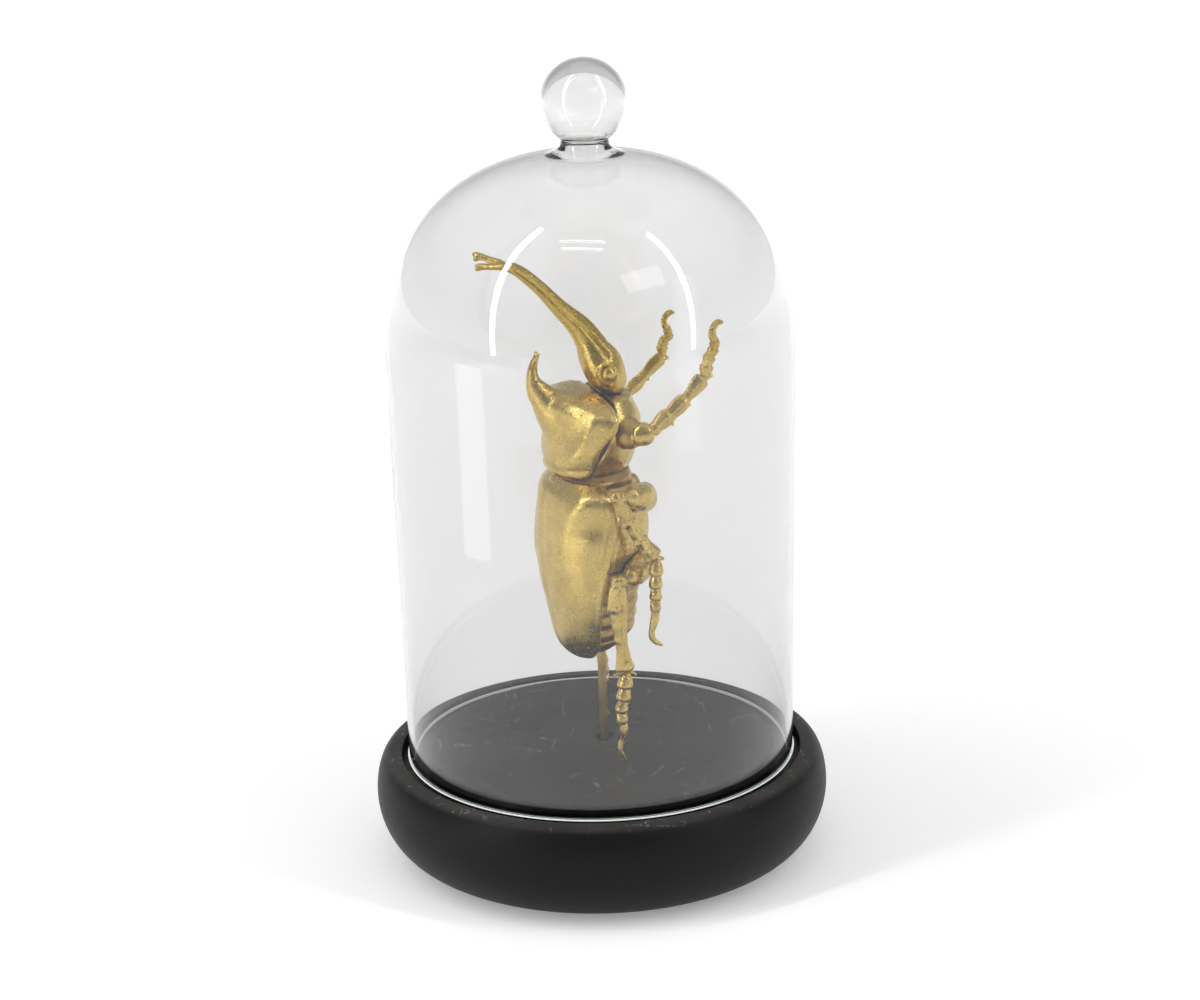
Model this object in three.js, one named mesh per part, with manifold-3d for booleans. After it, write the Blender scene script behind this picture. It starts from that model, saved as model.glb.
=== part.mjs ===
// A gilded rhinoceros beetle standing upright on a brass rod, under a blown glass dome with a ball
// knob, on a turned wooden base. Units are millimetres and +Z is up. The origin is the centre of the
// flat underside of the base.
//
// The beetle is built in its own axes, given as (depth, side, height): depth runs from its back
// (negative) to its belly (positive), side is positive on its right, and height is along its body.

import * as THREE from 'three';
import { mergeVertices } from 'three/addons/utils/BufferGeometryUtils.js';
import Module from 'manifold-3d';

const wasm = await Module();
wasm.setup();

// ---- Driving dimensions ----------------------------------------------------------------------------

const GAP = 0.35; // clear space kept between neighbouring pieces
const ROUND = 32; // sides of the turned base
const DOME_ROUND = 28; // sides of the dome

const BASE = {
  footRadius: 31.5,
  widestRadius: 42.3,
  widestHeight: 12.3,
  ringRadius: 39.3,
  ringHeight: 19.4,
  grooveOuter: 37.4,
  grooveInner: 32.3,
  grooveFloor: 16.9,
  discHeight: 20.4,
};

const DOME = {
  footRadius: 36.0,
  shoulderRadius: 37.1,
  shoulderHeight: 95.5,
  capRise: 36.4,
  capPower: 2.36,
  wall: 2.0,
  neckRadius: 4.3,
  knobRadius: 7.9,
  knobHeight: 140.8,
  knobWall: 1.3,
};

const ROD = { x: 0.6, y: 1.2, radius: 0.8, bottom: 12.9, top: 46.0, collarRadius: 1.85, collarDepth: 2.2 };

const BEETLE_TURN = THREE.MathUtils.degToRad(18); // the belly faces right and a little away
const HEAD_TURN = THREE.MathUtils.degToRad(-12); // the head looks slightly back over the right side

const ELYTRON_WALL = 1.1;
const SUTURE_GAP = 0.35;

const GOLD = { color: 0xc4a862, roughness: 0.32, metalness: 1.0 };
const GOLD_DEEP = { color: 0x9c7c3c, roughness: 0.4, metalness: 1.0 };
const BRASS = { color: 0xb08d52, roughness: 0.3, metalness: 1.0 };
const EBONISED = { color: 0x2b2b2d, roughness: 0.45, metalness: 0.0 };
const GLASS = { color: 0xeef2f0, roughness: 0.02, metalness: 0.0, transparent: true, opacity: 0.3 };

// ---- Solid helpers ---------------------------------------------------------------------------------

function closed(geometry) {
  const plain = geometry.index ? geometry.clone() : geometry;
  plain.deleteAttribute('normal');
  plain.deleteAttribute('uv');
  return mergeVertices(plain, 1e-4);
}

function toSolid(geometry) {
  const shape = closed(geometry);
  return new wasm.Manifold(new wasm.Mesh({
    numProp: 3,
    vertProperties: new Float32Array(shape.attributes.position.array),
    triVerts: new Uint32Array(shape.index.array),
  }));
}

function toGeometry(solid) {
  const mesh = solid.getMesh();
  const geometry = new THREE.BufferGeometry();
  geometry.setAttribute('position', new THREE.BufferAttribute(mesh.vertProperties, 3));
  geometry.setIndex(new THREE.BufferAttribute(mesh.triVerts, 1));
  geometry.computeVertexNormals();
  return geometry;
}

function join(first, ...others) {
  let solid = toSolid(first);
  for (const other of others) solid = solid.add(toSolid(other));
  return toGeometry(solid);
}

function cut(body, ...tools) {
  let solid = toSolid(body);
  for (const tool of tools) solid = solid.subtract(toSolid(tool));
  return toGeometry(solid);
}

function keep(body, region) {
  return toGeometry(toSolid(body).intersect(toSolid(region)));
}

// A point of the beetle: depth toward the belly, side toward its right, height along the body.
function at(depth, side, height) {
  return new THREE.Vector3(depth, -side, height);
}

// Turns the faces of a closed geometry outward, whichever way its rings were wound.
function facingOut(geometry) {
  const position = geometry.attributes.position;
  const index = geometry.index;
  const a = new THREE.Vector3();
  const b = new THREE.Vector3();
  const c = new THREE.Vector3();
  let volume = 0;
  for (let i = 0; i < index.count; i += 3) {
    a.fromBufferAttribute(position, index.getX(i));
    b.fromBufferAttribute(position, index.getX(i + 1));
    c.fromBufferAttribute(position, index.getX(i + 2));
    volume += a.dot(b.cross(c));
  }
  if (volume < 0) {
    for (let i = 0; i < index.count; i += 3) {
      const first = index.getX(i);
      index.setX(i, index.getX(i + 1));
      index.setX(i + 1, first);
    }
  }
  return geometry;
}

// A sphere's rings are laid along a body: ring(t, angle) gives a point of the skin, for t from 0 to 1
// along it, and the two poles close the ends at the middle of the end rings.
function skin(sides, rings, ring) {
  const geometry = new THREE.SphereGeometry(1, sides, rings);
  const position = geometry.attributes.position;
  for (let row = 0; row <= rings; row += 1) {
    const t = THREE.MathUtils.clamp((row - 1) / (rings - 2), 0, 1);
    const pole = row === 0 || row === rings;
    const centre = new THREE.Vector3();
    for (let side = 0; side < sides; side += 1) {
      centre.addScaledVector(ring(t, (side / sides) * Math.PI * 2), 1 / sides);
    }
    for (let side = 0; side <= sides; side += 1) {
      const angle = ((side % sides) / sides) * Math.PI * 2;
      const point = pole ? centre : ring(t, angle);
      position.setXYZ(row * (sides + 1) + side, point.x, point.y, point.z);
    }
  }
  return facingOut(closed(geometry));
}

// Smooth values between the rows of a table, whose first column is the key.
function between(table, key) {
  const last = table.length - 1;
  let row = 0;
  while (row < last - 1 && key > table[row + 1][0]) row += 1;
  const [from, to] = [table[row], table[row + 1]];
  const before = table[Math.max(row - 1, 0)];
  const after = table[Math.min(row + 2, last)];
  const span = to[0] - from[0];
  const u = THREE.MathUtils.clamp((key - from[0]) / span, 0, 1);
  return from.slice(1).map((value, column) => {
    const i = column + 1;
    const slopeFrom = ((to[i] - before[i]) / (to[0] - before[0])) * span;
    const slopeTo = ((after[i] - value) / (after[0] - from[0])) * span;
    const u2 = u * u;
    const u3 = u2 * u;
    return value * (2 * u3 - 3 * u2 + 1) + slopeFrom * (u3 - 2 * u2 + u)
      + to[i] * (3 * u2 - 2 * u3) + slopeTo * (u3 - u2);
  });
}

// A body segment, from rows of [height, half width, depth of its side margin, rise to the back,
// drop to the belly]. Its section is half an oval on each side of the margin, and its rings lie closer
// together at the ends.
function segment(rows, { sides = 24, rings = 14, grow = 0, from = rows[0][0], to = rows.at(-1)[0] } = {}) {
  return skin(sides, rings, (t, angle) => {
    const height = THREE.MathUtils.lerp(from, to, (1 - Math.cos(Math.PI * t)) / 2);
    const [half, margin, rise, drop] = between(rows, height);
    const across = Math.sin(angle);
    const toBack = Math.cos(angle);
    const deep = toBack > 0 ? -(rise + grow) * toBack : (drop + grow) * -toBack;
    return at(margin + deep, (half + grow) * across, height);
  });
}

// A limb along a path, from rows of [t, half width, half thickness]. The width is measured along
// `wide`, and the ends are rounded over the share `cap` of the length.
function limb(path, rows, { wide, sides = 8, rings = 9, cap = 0.08, grow = 0, relief = () => 1 }) {
  const curve = new THREE.CatmullRomCurve3(path, false, 'centripetal');
  return skin(sides, rings, (t, angle) => {
    const [half, thick] = between(rows, t);
    const toEnd = Math.min(t, 1 - t, cap) / cap;
    const round = 0.3 + 0.7 * Math.sqrt(1 - (1 - toEnd) ** 2);
    const along = curve.getTangentAt(t);
    const across = wide.clone().addScaledVector(along, -wide.dot(along)).normalize();
    const through = new THREE.Vector3().crossVectors(along, across);
    const scale = round * relief(t);
    return curve.getPointAt(t)
      .addScaledVector(across, (half * scale + grow) * Math.cos(angle))
      .addScaledVector(through, (thick * scale + grow) * Math.sin(angle));
  });
}

function ball(centre, halves, { sides = 14, rings = 10, grow = 0 } = {}) {
  const geometry = new THREE.SphereGeometry(1, sides, rings);
  geometry.scale(halves[0] + grow, halves[1] + grow, halves[2] + grow);
  geometry.translate(centre.x, centre.y, centre.z);
  return geometry;
}

function block(min, max) {
  const size = max.clone().sub(min);
  const geometry = new THREE.BoxGeometry(size.x, size.y, size.z);
  const middle = min.clone().add(max).multiplyScalar(0.5);
  geometry.translate(middle.x, middle.y, middle.z);
  return geometry;
}

function pin(x, y, radius, bottom, top, sides = 16) {
  const geometry = new THREE.CylinderGeometry(radius, radius, top - bottom, sides);
  geometry.rotateX(Math.PI / 2);
  geometry.translate(x, y, (top + bottom) / 2);
  return geometry;
}

function turned(profile, sides = ROUND) {
  const points = profile.map(([radius, height]) => new THREE.Vector2(radius, height));
  const geometry = new THREE.LatheGeometry(points, sides);
  geometry.rotateX(Math.PI / 2);
  return facingOut(closed(geometry));
}

const group = new THREE.Group();
const beetle = new THREE.Group();
beetle.rotation.z = BEETLE_TURN;
group.add(beetle);

function piece(parent, name, geometry, finish) {
  const mesh = new THREE.Mesh(geometry, new THREE.MeshStandardMaterial(finish));
  mesh.name = name;
  parent.add(mesh);
  return mesh;
}

// ---- Turned base -----------------------------------------------------------------------------------

function quarterArc(steps, at01) {
  return Array.from({ length: steps + 1 }, (_, i) => at01((i / steps) * Math.PI / 2));
}

function baseGeometry() {
  const b = BASE;
  const lowerSide = quarterArc(4, (a) => [
    b.footRadius + (b.widestRadius - b.footRadius) * Math.sin(a),
    b.widestHeight * (1 - Math.cos(a)),
  ]);
  const upperSide = quarterArc(3, (a) => [
    b.ringRadius + (b.widestRadius - b.ringRadius) * Math.cos(a),
    b.widestHeight + (b.ringHeight - b.widestHeight) * Math.sin(a),
  ]).slice(1);
  const body = turned([
    [0, 0],
    ...lowerSide,
    ...upperSide,
    [b.grooveOuter, b.ringHeight],
    [b.grooveOuter, b.grooveFloor],
    [b.grooveInner, b.grooveFloor],
    [b.grooveInner, b.discHeight - 0.4],
    [b.grooveInner - 0.4, b.discHeight],
    [0, b.discHeight],
  ]);
  const collar = pin(ROD.x, ROD.y, ROD.collarRadius, b.discHeight - ROD.collarDepth, b.discHeight + 1, 20);
  const bore = pin(ROD.x, ROD.y, ROD.radius + GAP, ROD.bottom - GAP, b.discHeight + 1, 12);
  return cut(body, collar, bore);
}

piece(group, 'base', baseGeometry(), EBONISED);

// ---- Glass dome with its ball knob -----------------------------------------------------------------

function capCurve(radius, rise, steps, stopRadius) {
  const points = [];
  for (let i = 1; i <= steps; i += 1) {
    const a = (i / (steps + 1)) * Math.PI / 2;
    const r = radius * Math.cos(a) ** (2 / DOME.capPower);
    if (r > stopRadius * 1.25) points.push([r, DOME.shoulderHeight + rise * Math.sin(a) ** (2 / DOME.capPower)]);
  }
  return points;
}

function knobCurve(radius, steps, fromRadius) {
  const start = Math.asin(fromRadius / radius);
  return Array.from({ length: steps }, (_, i) => {
    const a = Math.PI - THREE.MathUtils.lerp(start, Math.PI, i / steps);
    return [radius * Math.sin(a), DOME.knobHeight + radius * Math.cos(a)];
  });
}

function domeGeometry() {
  const d = DOME;
  const foot = BASE.grooveFloor + GAP;
  const top = d.shoulderHeight + d.capRise;
  const innerRadius = d.shoulderRadius - d.wall;
  const innerRise = d.capRise - d.wall;
  const innerNeck = d.neckRadius - d.wall * 0.75;
  const knobInside = d.knobRadius - d.knobWall;
  const outerKnob = knobCurve(d.knobRadius, 5, d.neckRadius);
  const innerKnob = knobCurve(knobInside, 4, innerNeck);
  const outside = [
    [d.footRadius, foot],
    [d.shoulderRadius, d.shoulderHeight],
    ...capCurve(d.shoulderRadius, d.capRise, 6, d.neckRadius),
    [d.neckRadius, top + 0.5],
    ...outerKnob,
    [0, d.knobHeight + d.knobRadius],
  ];
  const inside = [
    [d.footRadius - d.wall, foot],
    [innerRadius, d.shoulderHeight],
    ...capCurve(innerRadius, innerRise, 4, innerNeck),
    [innerNeck, top - d.wall + 0.3],
    ...innerKnob,
    [0, d.knobHeight + knobInside],
  ];
  return turned([...inside.reverse(), ...outside], DOME_ROUND);
}

piece(group, 'glass_dome', domeGeometry(), GLASS);

// ---- Mounting rod ----------------------------------------------------------------------------------

piece(group, 'mount_rod', closed(pin(ROD.x, ROD.y, ROD.radius, ROD.bottom, ROD.top, 12)), BRASS);

// ---- Wing cases ------------------------------------------------------------------------------------

// [height, half width, margin depth, rise to the back, drop to the belly]
const ELYTRA_ROWS = [
  [37.2, 1.6, -2.9, 0.8, 0.5],
  [38.2, 4.4, -3.0, 1.9, 0.5],
  [40.0, 7.0, -3.1, 3.3, 0.4],
  [42.6, 9.2, -3.2, 4.4, 0.4],
  [47.0, 11.4, -3.3, 5.5, 0.4],
  [52.8, 12.8, -3.1, 6.8, 0.4],
  [60.0, 13.5, -1.8, 8.6, 0.4],
  [66.0, 13.4, -0.4, 9.7, 0.4],
  [70.6, 12.6, -0.9, 8.6, 0.4],
  [73.0, 9.6, -1.8, 5.6, 0.4],
];

function inset(rows, wall, drop) {
  return rows.map(([height, half, margin, rise]) => [height, half - wall, margin, rise - wall, drop]);
}

function scutellumShape(grow = 0) {
  return ball(at(-7.9, 0, 71.3), [1.3, 2.0, 2.0], { sides: 8, rings: 5, grow });
}

// Both wing cases as one domed shell, open toward the belly. A grown shell is thicker on every side.
function elytraShell(grow = 0) {
  const outer = segment(ELYTRA_ROWS, { sides: 20, rings: 11, grow });
  const hollowRows = inset(ELYTRA_ROWS.slice(1), ELYTRON_WALL, 6).map((row) => [row[0] + 0.6, ...row.slice(1)]);
  const hollow = segment(hollowRows, { sides: 14, rings: 7, grow: -grow });
  return cut(outer, hollow);
}

function elytronGeometry(side) {
  const shell = cut(elytraShell(), scutellumShape(GAP));
  const near = block(at(-20, side > 0 ? 40 : -SUTURE_GAP / 2, 30), at(20, side > 0 ? SUTURE_GAP / 2 : -40, 80));
  return keep(shell, near);
}

for (const [side, name] of [[1, 'elytron_right'], [-1, 'elytron_left']]) {
  piece(beetle, name, elytronGeometry(side), GOLD);
}

// ---- Abdomen and hind part of the thorax, under the wing cases ---------------------------------------

const ABDOMEN_ROWS = [
  [38.4, 2.6, -0.9, 0.6, 2.0],
  [40.2, 5.6, -2.6, 0.9, 6.2],
  [43.0, 7.8, -3.0, 2.2, 9.4],
  [47.0, 9.6, -3.2, 3.7, 10.2],
  [52.0, 10.9, -3.0, 4.9, 10.4],
  [56.6, 11.4, -2.4, 5.9, 10.3],
];

const ROD_IN_BEETLE = new THREE.Vector2(ROD.x, ROD.y).rotateAround(new THREE.Vector2(), -BEETLE_TURN);

function rodHole() {
  return pin(ROD_IN_BEETLE.x, ROD_IN_BEETLE.y, ROD.radius + GAP, 30, ROD.top + GAP, 12);
}

const HIND_THORAX_ROWS = [
  [57.0, 11.6, -2.2, 6.2, 10.6],
  [60.0, 12.0, -1.7, 6.9, 11.1],
  [64.5, 12.0, -0.8, 8.0, 10.4],
  [69.0, 10.8, -0.9, 7.0, 9.6],
  [71.2, 7.6, -1.2, 4.2, 8.4],
];

const MIDDLE_THORAX_ROWS = [
  [71.6, 7.0, -1.4, 4.6, 8.2],
  [73.3, 6.4, -1.8, 4.0, 8.4],
];

// ---- Front part of the thorax ----------------------------------------------------------------------

const PRONOTUM_ROWS = [
  [73.7, 7.4, -3.6, 4.3, 0.0],
  [75.2, 9.4, -3.1, 5.8, 0.2],
  [77.4, 10.8, -2.7, 6.3, 0.3],
  [80.4, 12.2, -1.4, 7.3, 0.3],
  [83.6, 13.0, 0.8, 9.3, 0.3],
  [86.2, 12.5, 1.1, 10.3, 0.3],
  [88.0, 10.4, 0.8, 10.4, 0.3],
  [89.2, 7.6, 0.1, 8.8, 0.2],
  [89.9, 4.2, -0.9, 6.4, 0.2],
];

const PROSTERNUM_ROWS = [
  [74.2, 6.6, -2.3, 0.0, 9.0],
  [76.4, 8.0, -1.7, 0.0, 9.3],
  [80.0, 9.6, -0.3, 0.0, 8.4],
  [84.0, 10.4, 1.2, 0.0, 7.2],
  [87.6, 8.0, 1.6, 0.0, 5.2],
];

// ---- Head, turned a little on the neck ---------------------------------------------------------------

const headTurn = new THREE.Matrix4().makeRotationZ(HEAD_TURN);

function headAt(depth, side, height) {
  return at(depth, side, height).applyMatrix4(headTurn);
}

const HEAD_ROWS = [
  [87.9, 2.4, 4.4, 1.2, 1.4],
  [89.4, 4.0, 3.6, 2.6, 2.8],
  [92.4, 4.6, 2.6, 3.9, 3.5],
  [95.4, 3.6, 1.5, 3.7, 3.4],
  [98.4, 2.2, 0.0, 2.5, 1.8],
];

function headCapsule(grow = 0) {
  return segment(HEAD_ROWS, { sides: 16, rings: 8, grow }).applyMatrix4(headTurn);
}

const HORN_WIDE = headAt(0, 1, 0);

function headGeometry() {
  const horn = limb(
    [headAt(0.9, 0, 95.5), headAt(-1.6, 0, 99.8), headAt(-5.2, 0, 103.6), headAt(-9.6, 0, 108.4),
      headAt(-13.4, 0, 111.4), headAt(-17.6, 0, 112.4)],
    [[0, 3.0, 3.0], [0.18, 2.1, 2.3], [0.45, 1.5, 1.5], [0.8, 1.25, 1.15], [1, 1.6, 0.9]],
    { wide: HORN_WIDE, sides: 8, rings: 9, cap: 0.04 },
  );
  const prongs = [-1, 1].map((side) => limb(
    [headAt(-16.2, side * 0.7, 112.2), headAt(-18.4, side * 2.0, 112.9), headAt(-20.6, side * 3.5, 113.5)],
    [[0, 0.95, 0.85], [0.6, 0.9, 0.8], [1, 0.55, 0.5]],
    { wide: headAt(0, 0, 1), sides: 5, rings: 4, cap: 0.15 },
  ));
  return join(headCapsule(), horn, ...prongs);
}

function eyeBall(side, grow = 0) {
  return ball(headAt(2.8, side * 4.35, 92.3), [1.35, 1.1, 1.35], { sides: 8, rings: 6, grow });
}

piece(
  beetle,
  'head_with_horn',
  cut(headGeometry(), eyeBall(1, GAP), eyeBall(-1, GAP)),
  GOLD,
);
piece(beetle, 'eye_right', closed(eyeBall(1)), GOLD);
piece(beetle, 'eye_left', closed(eyeBall(-1)), GOLD);

// ---- Legs -------------------------------------------------------------------------------------------

// Each leg is a hip, a thigh, a shin and a foot. Points are (depth, side, height) of its joints.
const LEGS = [
  {
    name: 'front_right',
    hip: [3.4, 8.4, 82.4],
    hipHalves: [2.6, 3.2, 3.0],
    thigh: [[3.9, 11.6, 82.7], [5.6, 12.5, 82.7], [7.3, 12.7, 82.6]],
    thighRows: [[0, 1.8, 1.7], [0.5, 2.3, 1.8], [1, 1.4, 1.3]],
    shin: [[7.6, 12.7, 83.6], [11.0, 12.4, 86.0], [14.2, 12.2, 88.6], [17.2, 12.1, 91.7]],
    shinRows: [[0, 0.75, 0.7], [0.25, 1.35, 0.85], [0.6, 1.1, 0.8], [0.85, 1.3, 0.8], [1, 1.6, 0.8]],
    spurs: [[0.24, 0.5, -0.8, 2.0], [0.62, 0.8, -0.6, 1.5], [0.97, 0.95, 0.2, 2.2]],
    foot: [[17.5, 12.1, 92.2], [18.3, 12.2, 95.2], [19.3, 12.3, 97.4], [18.9, 12.3, 99.6], [19.1, 12.3, 100.9]],
    footHalf: 1.15,
    claw: [[19.2, 12.3, 100.8], [20.0, 12.3, 101.8], [21.2, 12.3, 102.0]],
  },
  {
    name: 'front_left',
    hip: [3.4, -8.4, 82.4],
    hipHalves: [2.6, 3.2, 3.0],
    thigh: [[4.6, -11.6, 82.6], [7.6, -12.4, 82.2], [10.2, -12.2, 82.4]],
    thighRows: [[0, 1.6, 1.5], [0.5, 2.1, 1.6], [1, 1.2, 1.1]],
    shin: [[10.7, -12.1, 83.1], [13.6, -12.0, 85.7], [16.2, -12.0, 88.2], [18.0, -12.0, 89.7]],
    shinRows: [[0, 0.75, 0.7], [0.3, 1.3, 0.8], [0.6, 1.05, 0.8], [0.85, 1.2, 0.8], [1, 1.35, 0.8]],
    spurs: [[0.5, 0.7, -0.7, 1.4], [0.97, 1.0, -0.1, 1.6]],
    foot: [[18.0, -12.0, 90.3], [18.2, -12.0, 92.2], [19.4, -12.0, 93.8], [18.7, -12.0, 95.6], [18.4, -12.0, 97.1]],
    footHalf: 0.9,
    claw: [[18.5, -12.0, 97.0], [19.4, -12.0, 97.9], [20.4, -12.0, 98.2]],
  },
];

// The middle and hind legs stand the same way on both sides, except for the left hind foot.
for (const [side, hand] of [[1, 'right'], [-1, 'left']]) {
  LEGS.push({
    name: `middle_${hand}`,
    hip: [7.6, side * 3.6, 68.2],
    hipHalves: [2.6, 3.0, 2.6],
    thigh: [[8.0, side * 6.9, 69.0], [4.8, side * 12.0, 70.8], [0.8, side * 15.2, 72.2]],
    thighRows: [[0, 2.3, 1.8], [0.4, 2.6, 1.9], [1, 1.3, 1.1]],
    shin: [[-1.0, side * 15.6, 72.4], [1.2, side * 15.5, 68.0], [3.7, side * 15.3, 63.6], [6.3, side * 15.1, 59.9]],
    shinRows: [[0, 1.0, 0.9], [0.3, 1.15, 0.95], [0.6, 1.2, 0.95], [0.9, 1.5, 1.1], [1, 1.75, 1.2]],
    spurs: [[0.38, -0.8, -0.6, 1.9], [0.68, -0.8, -0.5, 1.8], [0.97, -0.9, -0.5, 2.0], [0.97, 0.9, -0.3, 2.1]],
    foot: [[6.5, side * 15.1, 59.3], [6.3, side * 15.1, 55.4], [6.2, side * 15.1, 51.8], [6.0, side * 15.1, 48.4],
      [5.3, side * 15.1, 46.2]],
    footHalf: 0.95,
    claw: [[5.2, side * 15.1, 46.6], [5.6, side * 15.1, 44.4], [7.4, side * 15.1, 43.3]],
  });
}

LEGS.push({
  name: 'hind_right',
  hip: [6.6, 4.2, 58.0],
  hipHalves: [2.2, 3.4, 2.4],
  thigh: [[7.4, 7.9, 57.8], [4.4, 11.2, 56.8], [0.8, 14.4, 56.2]],
  thighRows: [[0, 2.1, 1.7], [0.4, 2.6, 1.8], [1, 1.3, 1.1]],
  shin: [[-0.9, 14.6, 56.2], [-0.8, 14.5, 51.6], [-0.3, 14.3, 45.2], [0.5, 14.1, 38.6]],
  shinRows: [[0, 1.2, 1.0], [0.25, 1.8, 1.1], [0.5, 1.6, 1.1], [0.72, 1.15, 1.0], [0.92, 1.8, 1.2], [1, 2.1, 1.3]],
  spurs: [[0.42, -0.9, -0.5, 1.9], [0.7, -0.8, -0.6, 1.9], [0.97, -0.9, -0.4, 2.6], [0.97, 0.9, -0.6, 2.6]],
  foot: [[0.6, 14.1, 38.0], [0.0, 14.1, 33.6], [-0.5, 14.1, 30.6], [-0.1, 14.1, 27.6], [-0.4, 14.1, 25.0]],
  footHalf: 1.15,
  claw: [[-0.5, 14.1, 25.4], [-0.9, 14.1, 23.6], [-0.1, 14.1, 21.5]],
});
LEGS.push({
  name: 'hind_left',
  hip: [6.6, -4.2, 58.0],
  hipHalves: [2.2, 3.4, 2.4],
  thigh: [[7.4, -7.9, 57.6], [4.8, -11.2, 56.2], [1.4, -14.2, 54.8]],
  thighRows: [[0, 2.1, 1.7], [0.4, 2.6, 1.8], [1, 1.3, 1.1]],
  shin: [[0.2, -14.4, 53.6], [1.0, -13.6, 48.4], [2.2, -12.0, 42.4], [3.3, -10.4, 36.8]],
  shinRows: [[0, 1.2, 1.0], [0.25, 1.8, 1.1], [0.5, 1.6, 1.1], [0.72, 1.15, 1.0], [0.92, 1.8, 1.2], [1, 2.1, 1.3]],
  spurs: [[0.42, -0.9, -0.5, 1.9], [0.7, -0.8, -0.6, 1.9], [0.97, -0.9, -0.4, 2.6], [0.97, 0.9, -0.6, 2.6]],
  foot: [[3.4, -10.2, 36.2], [3.9, -9.6, 32.4], [4.2, -9.4, 29.4], [3.9, -9.3, 26.6], [4.0, -9.2, 24.2]],
  footHalf: 1.1,
  claw: [[4.0, -9.2, 24.6], [3.7, -9.1, 22.8], [4.6, -9.0, 21.5]],
});

const FOOT_JOINTS = 5;
const SPUR_ROWS = [[0, 0.7, 0.7], [0.5, 0.5, 0.5], [1, 0.2, 0.2]];

function points(list) {
  return list.map((place) => at(...place));
}

function hipBall(leg, grow = 0) {
  return ball(at(...leg.hip), leg.hipHalves, { sides: 8, rings: 6, grow });
}

function thighShape(leg, grow = 0) {
  return limb(points(leg.thigh), leg.thighRows, { wide: at(0, 0, 1), sides: 8, rings: 6, cap: 0.25, grow });
}

// Each shin has spurs, from rows of [place along it, depth and height of the way it points, length].
function shinShape(leg) {
  const path = points(leg.shin);
  const curve = new THREE.CatmullRomCurve3(path, false, 'centripetal');
  const body = limb(path, leg.shinRows, { wide: at(1, 0, 0), sides: 7, rings: 8, cap: 0.05 });
  const spurs = leg.spurs.map(([t, depth, height, length]) => {
    const root = curve.getPointAt(t);
    const tip = root.clone().addScaledVector(at(depth, 0, height).normalize(), length);
    return limb([root, root.clone().lerp(tip, 0.5), tip], SPUR_ROWS, {
      wide: at(0, 1, 0), sides: 4, rings: 3, cap: 0.1,
    });
  });
  return join(body, ...spurs);
}

// Each joint of the foot narrows where it leaves the one before and flares at its far end.
function footShape(leg) {
  const bead = (t) => 1 - 0.15 * Math.cos(2 * Math.PI * FOOT_JOINTS * t) * Math.min(1, 8 * t);
  const half = leg.footHalf;
  const body = limb(
    points(leg.foot),
    [[0, half, half * 0.85], [0.5, half * 0.9, half * 0.8], [1, half * 0.62, half * 0.6]],
    { wide: at(1, 0, 0), sides: 6, rings: FOOT_JOINTS * 2 + 1, cap: 0.04, relief: bead },
  );
  const claws = [-1, 1].map((side) => {
    const path = leg.claw.map(([depth, across, height], i) => at(depth, across + side * 0.35 * i, height));
    return limb(path, [[0, 0.5, 0.5], [0.6, 0.36, 0.36], [1, 0.2, 0.2]], {
      wide: at(1, 0, 0), sides: 4, rings: 4, cap: 0.1,
    });
  });
  return join(body, ...claws);
}

function legCuts(pair) {
  const pairLegs = LEGS.filter((leg) => leg.name.startsWith(pair));
  return pairLegs.flatMap((leg) => [hipBall(leg, GAP), thighShape(leg, GAP)]);
}

for (const leg of LEGS) {
  piece(beetle, `${leg.name}_coxa`, cut(hipBall(leg), thighShape(leg, GAP)), GOLD_DEEP);
  piece(beetle, `${leg.name}_femur`, closed(thighShape(leg)), GOLD);
  piece(beetle, `${leg.name}_tibia`, cut(shinShape(leg), thighShape(leg, GAP)), GOLD);
  piece(beetle, `${leg.name}_tarsus`, footShape(leg), GOLD);
}

// ---- Body pieces that the legs and head sit in -------------------------------------------------------

piece(
  beetle,
  'abdomen',
  cut(segment(ABDOMEN_ROWS, { sides: 14, rings: 8 }), elytraShell(GAP), rodHole(), ...legCuts('hind')),
  GOLD_DEEP,
);
piece(beetle, 'mesothorax', segment(MIDDLE_THORAX_ROWS, { sides: 16, rings: 4 }), GOLD_DEEP);
piece(beetle, 'scutellum', closed(scutellumShape()), GOLD);
piece(
  beetle,
  'metathorax',
  cut(segment(HIND_THORAX_ROWS, { sides: 14, rings: 7 }), ...legCuts('middle'), ...legCuts('hind')),
  GOLD,
);

function pronotumShield(grow = 0) {
  return segment(PRONOTUM_ROWS, { sides: 18, rings: 9, grow });
}

function thoracicHorn() {
  const shaft = limb(
    [at(-6.6, 0, 84.6), at(-9.6, 0, 88.4), at(-11.1, 0, 91.8), at(-10.6, 0, 95.3)],
    [[0, 3.4, 3.2], [0.35, 2.4, 2.2], [0.65, 1.3, 1.15], [1, 0.8, 0.6]],
    { wide: at(0, 1, 0), sides: 8, rings: 9, cap: 0.05 },
  );
  const tips = [-1, 1].map((side) => limb(
    [at(-10.6, side * 0.2, 94.9), at(-10.3, side * 0.6, 95.8), at(-10.0, side * 1.0, 96.5)],
    [[0, 0.6, 0.5], [1, 0.36, 0.32]],
    { wide: at(0, 1, 0), sides: 6, rings: 4, cap: 0.2 },
  ));
  return [shaft, ...tips];
}

piece(
  beetle,
  'pronotum',
  cut(
    join(pronotumShield(), ...thoracicHorn()),
    headCapsule(GAP),
    ...legCuts('front'),
  ),
  GOLD,
);
piece(
  beetle,
  'prosternum',
  cut(
    segment(PROSTERNUM_ROWS, { sides: 14, rings: 7 }),
    pronotumShield(GAP),
    headCapsule(GAP),
    ...legCuts('front'),
  ),
  GOLD,
);

export default group;
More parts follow.
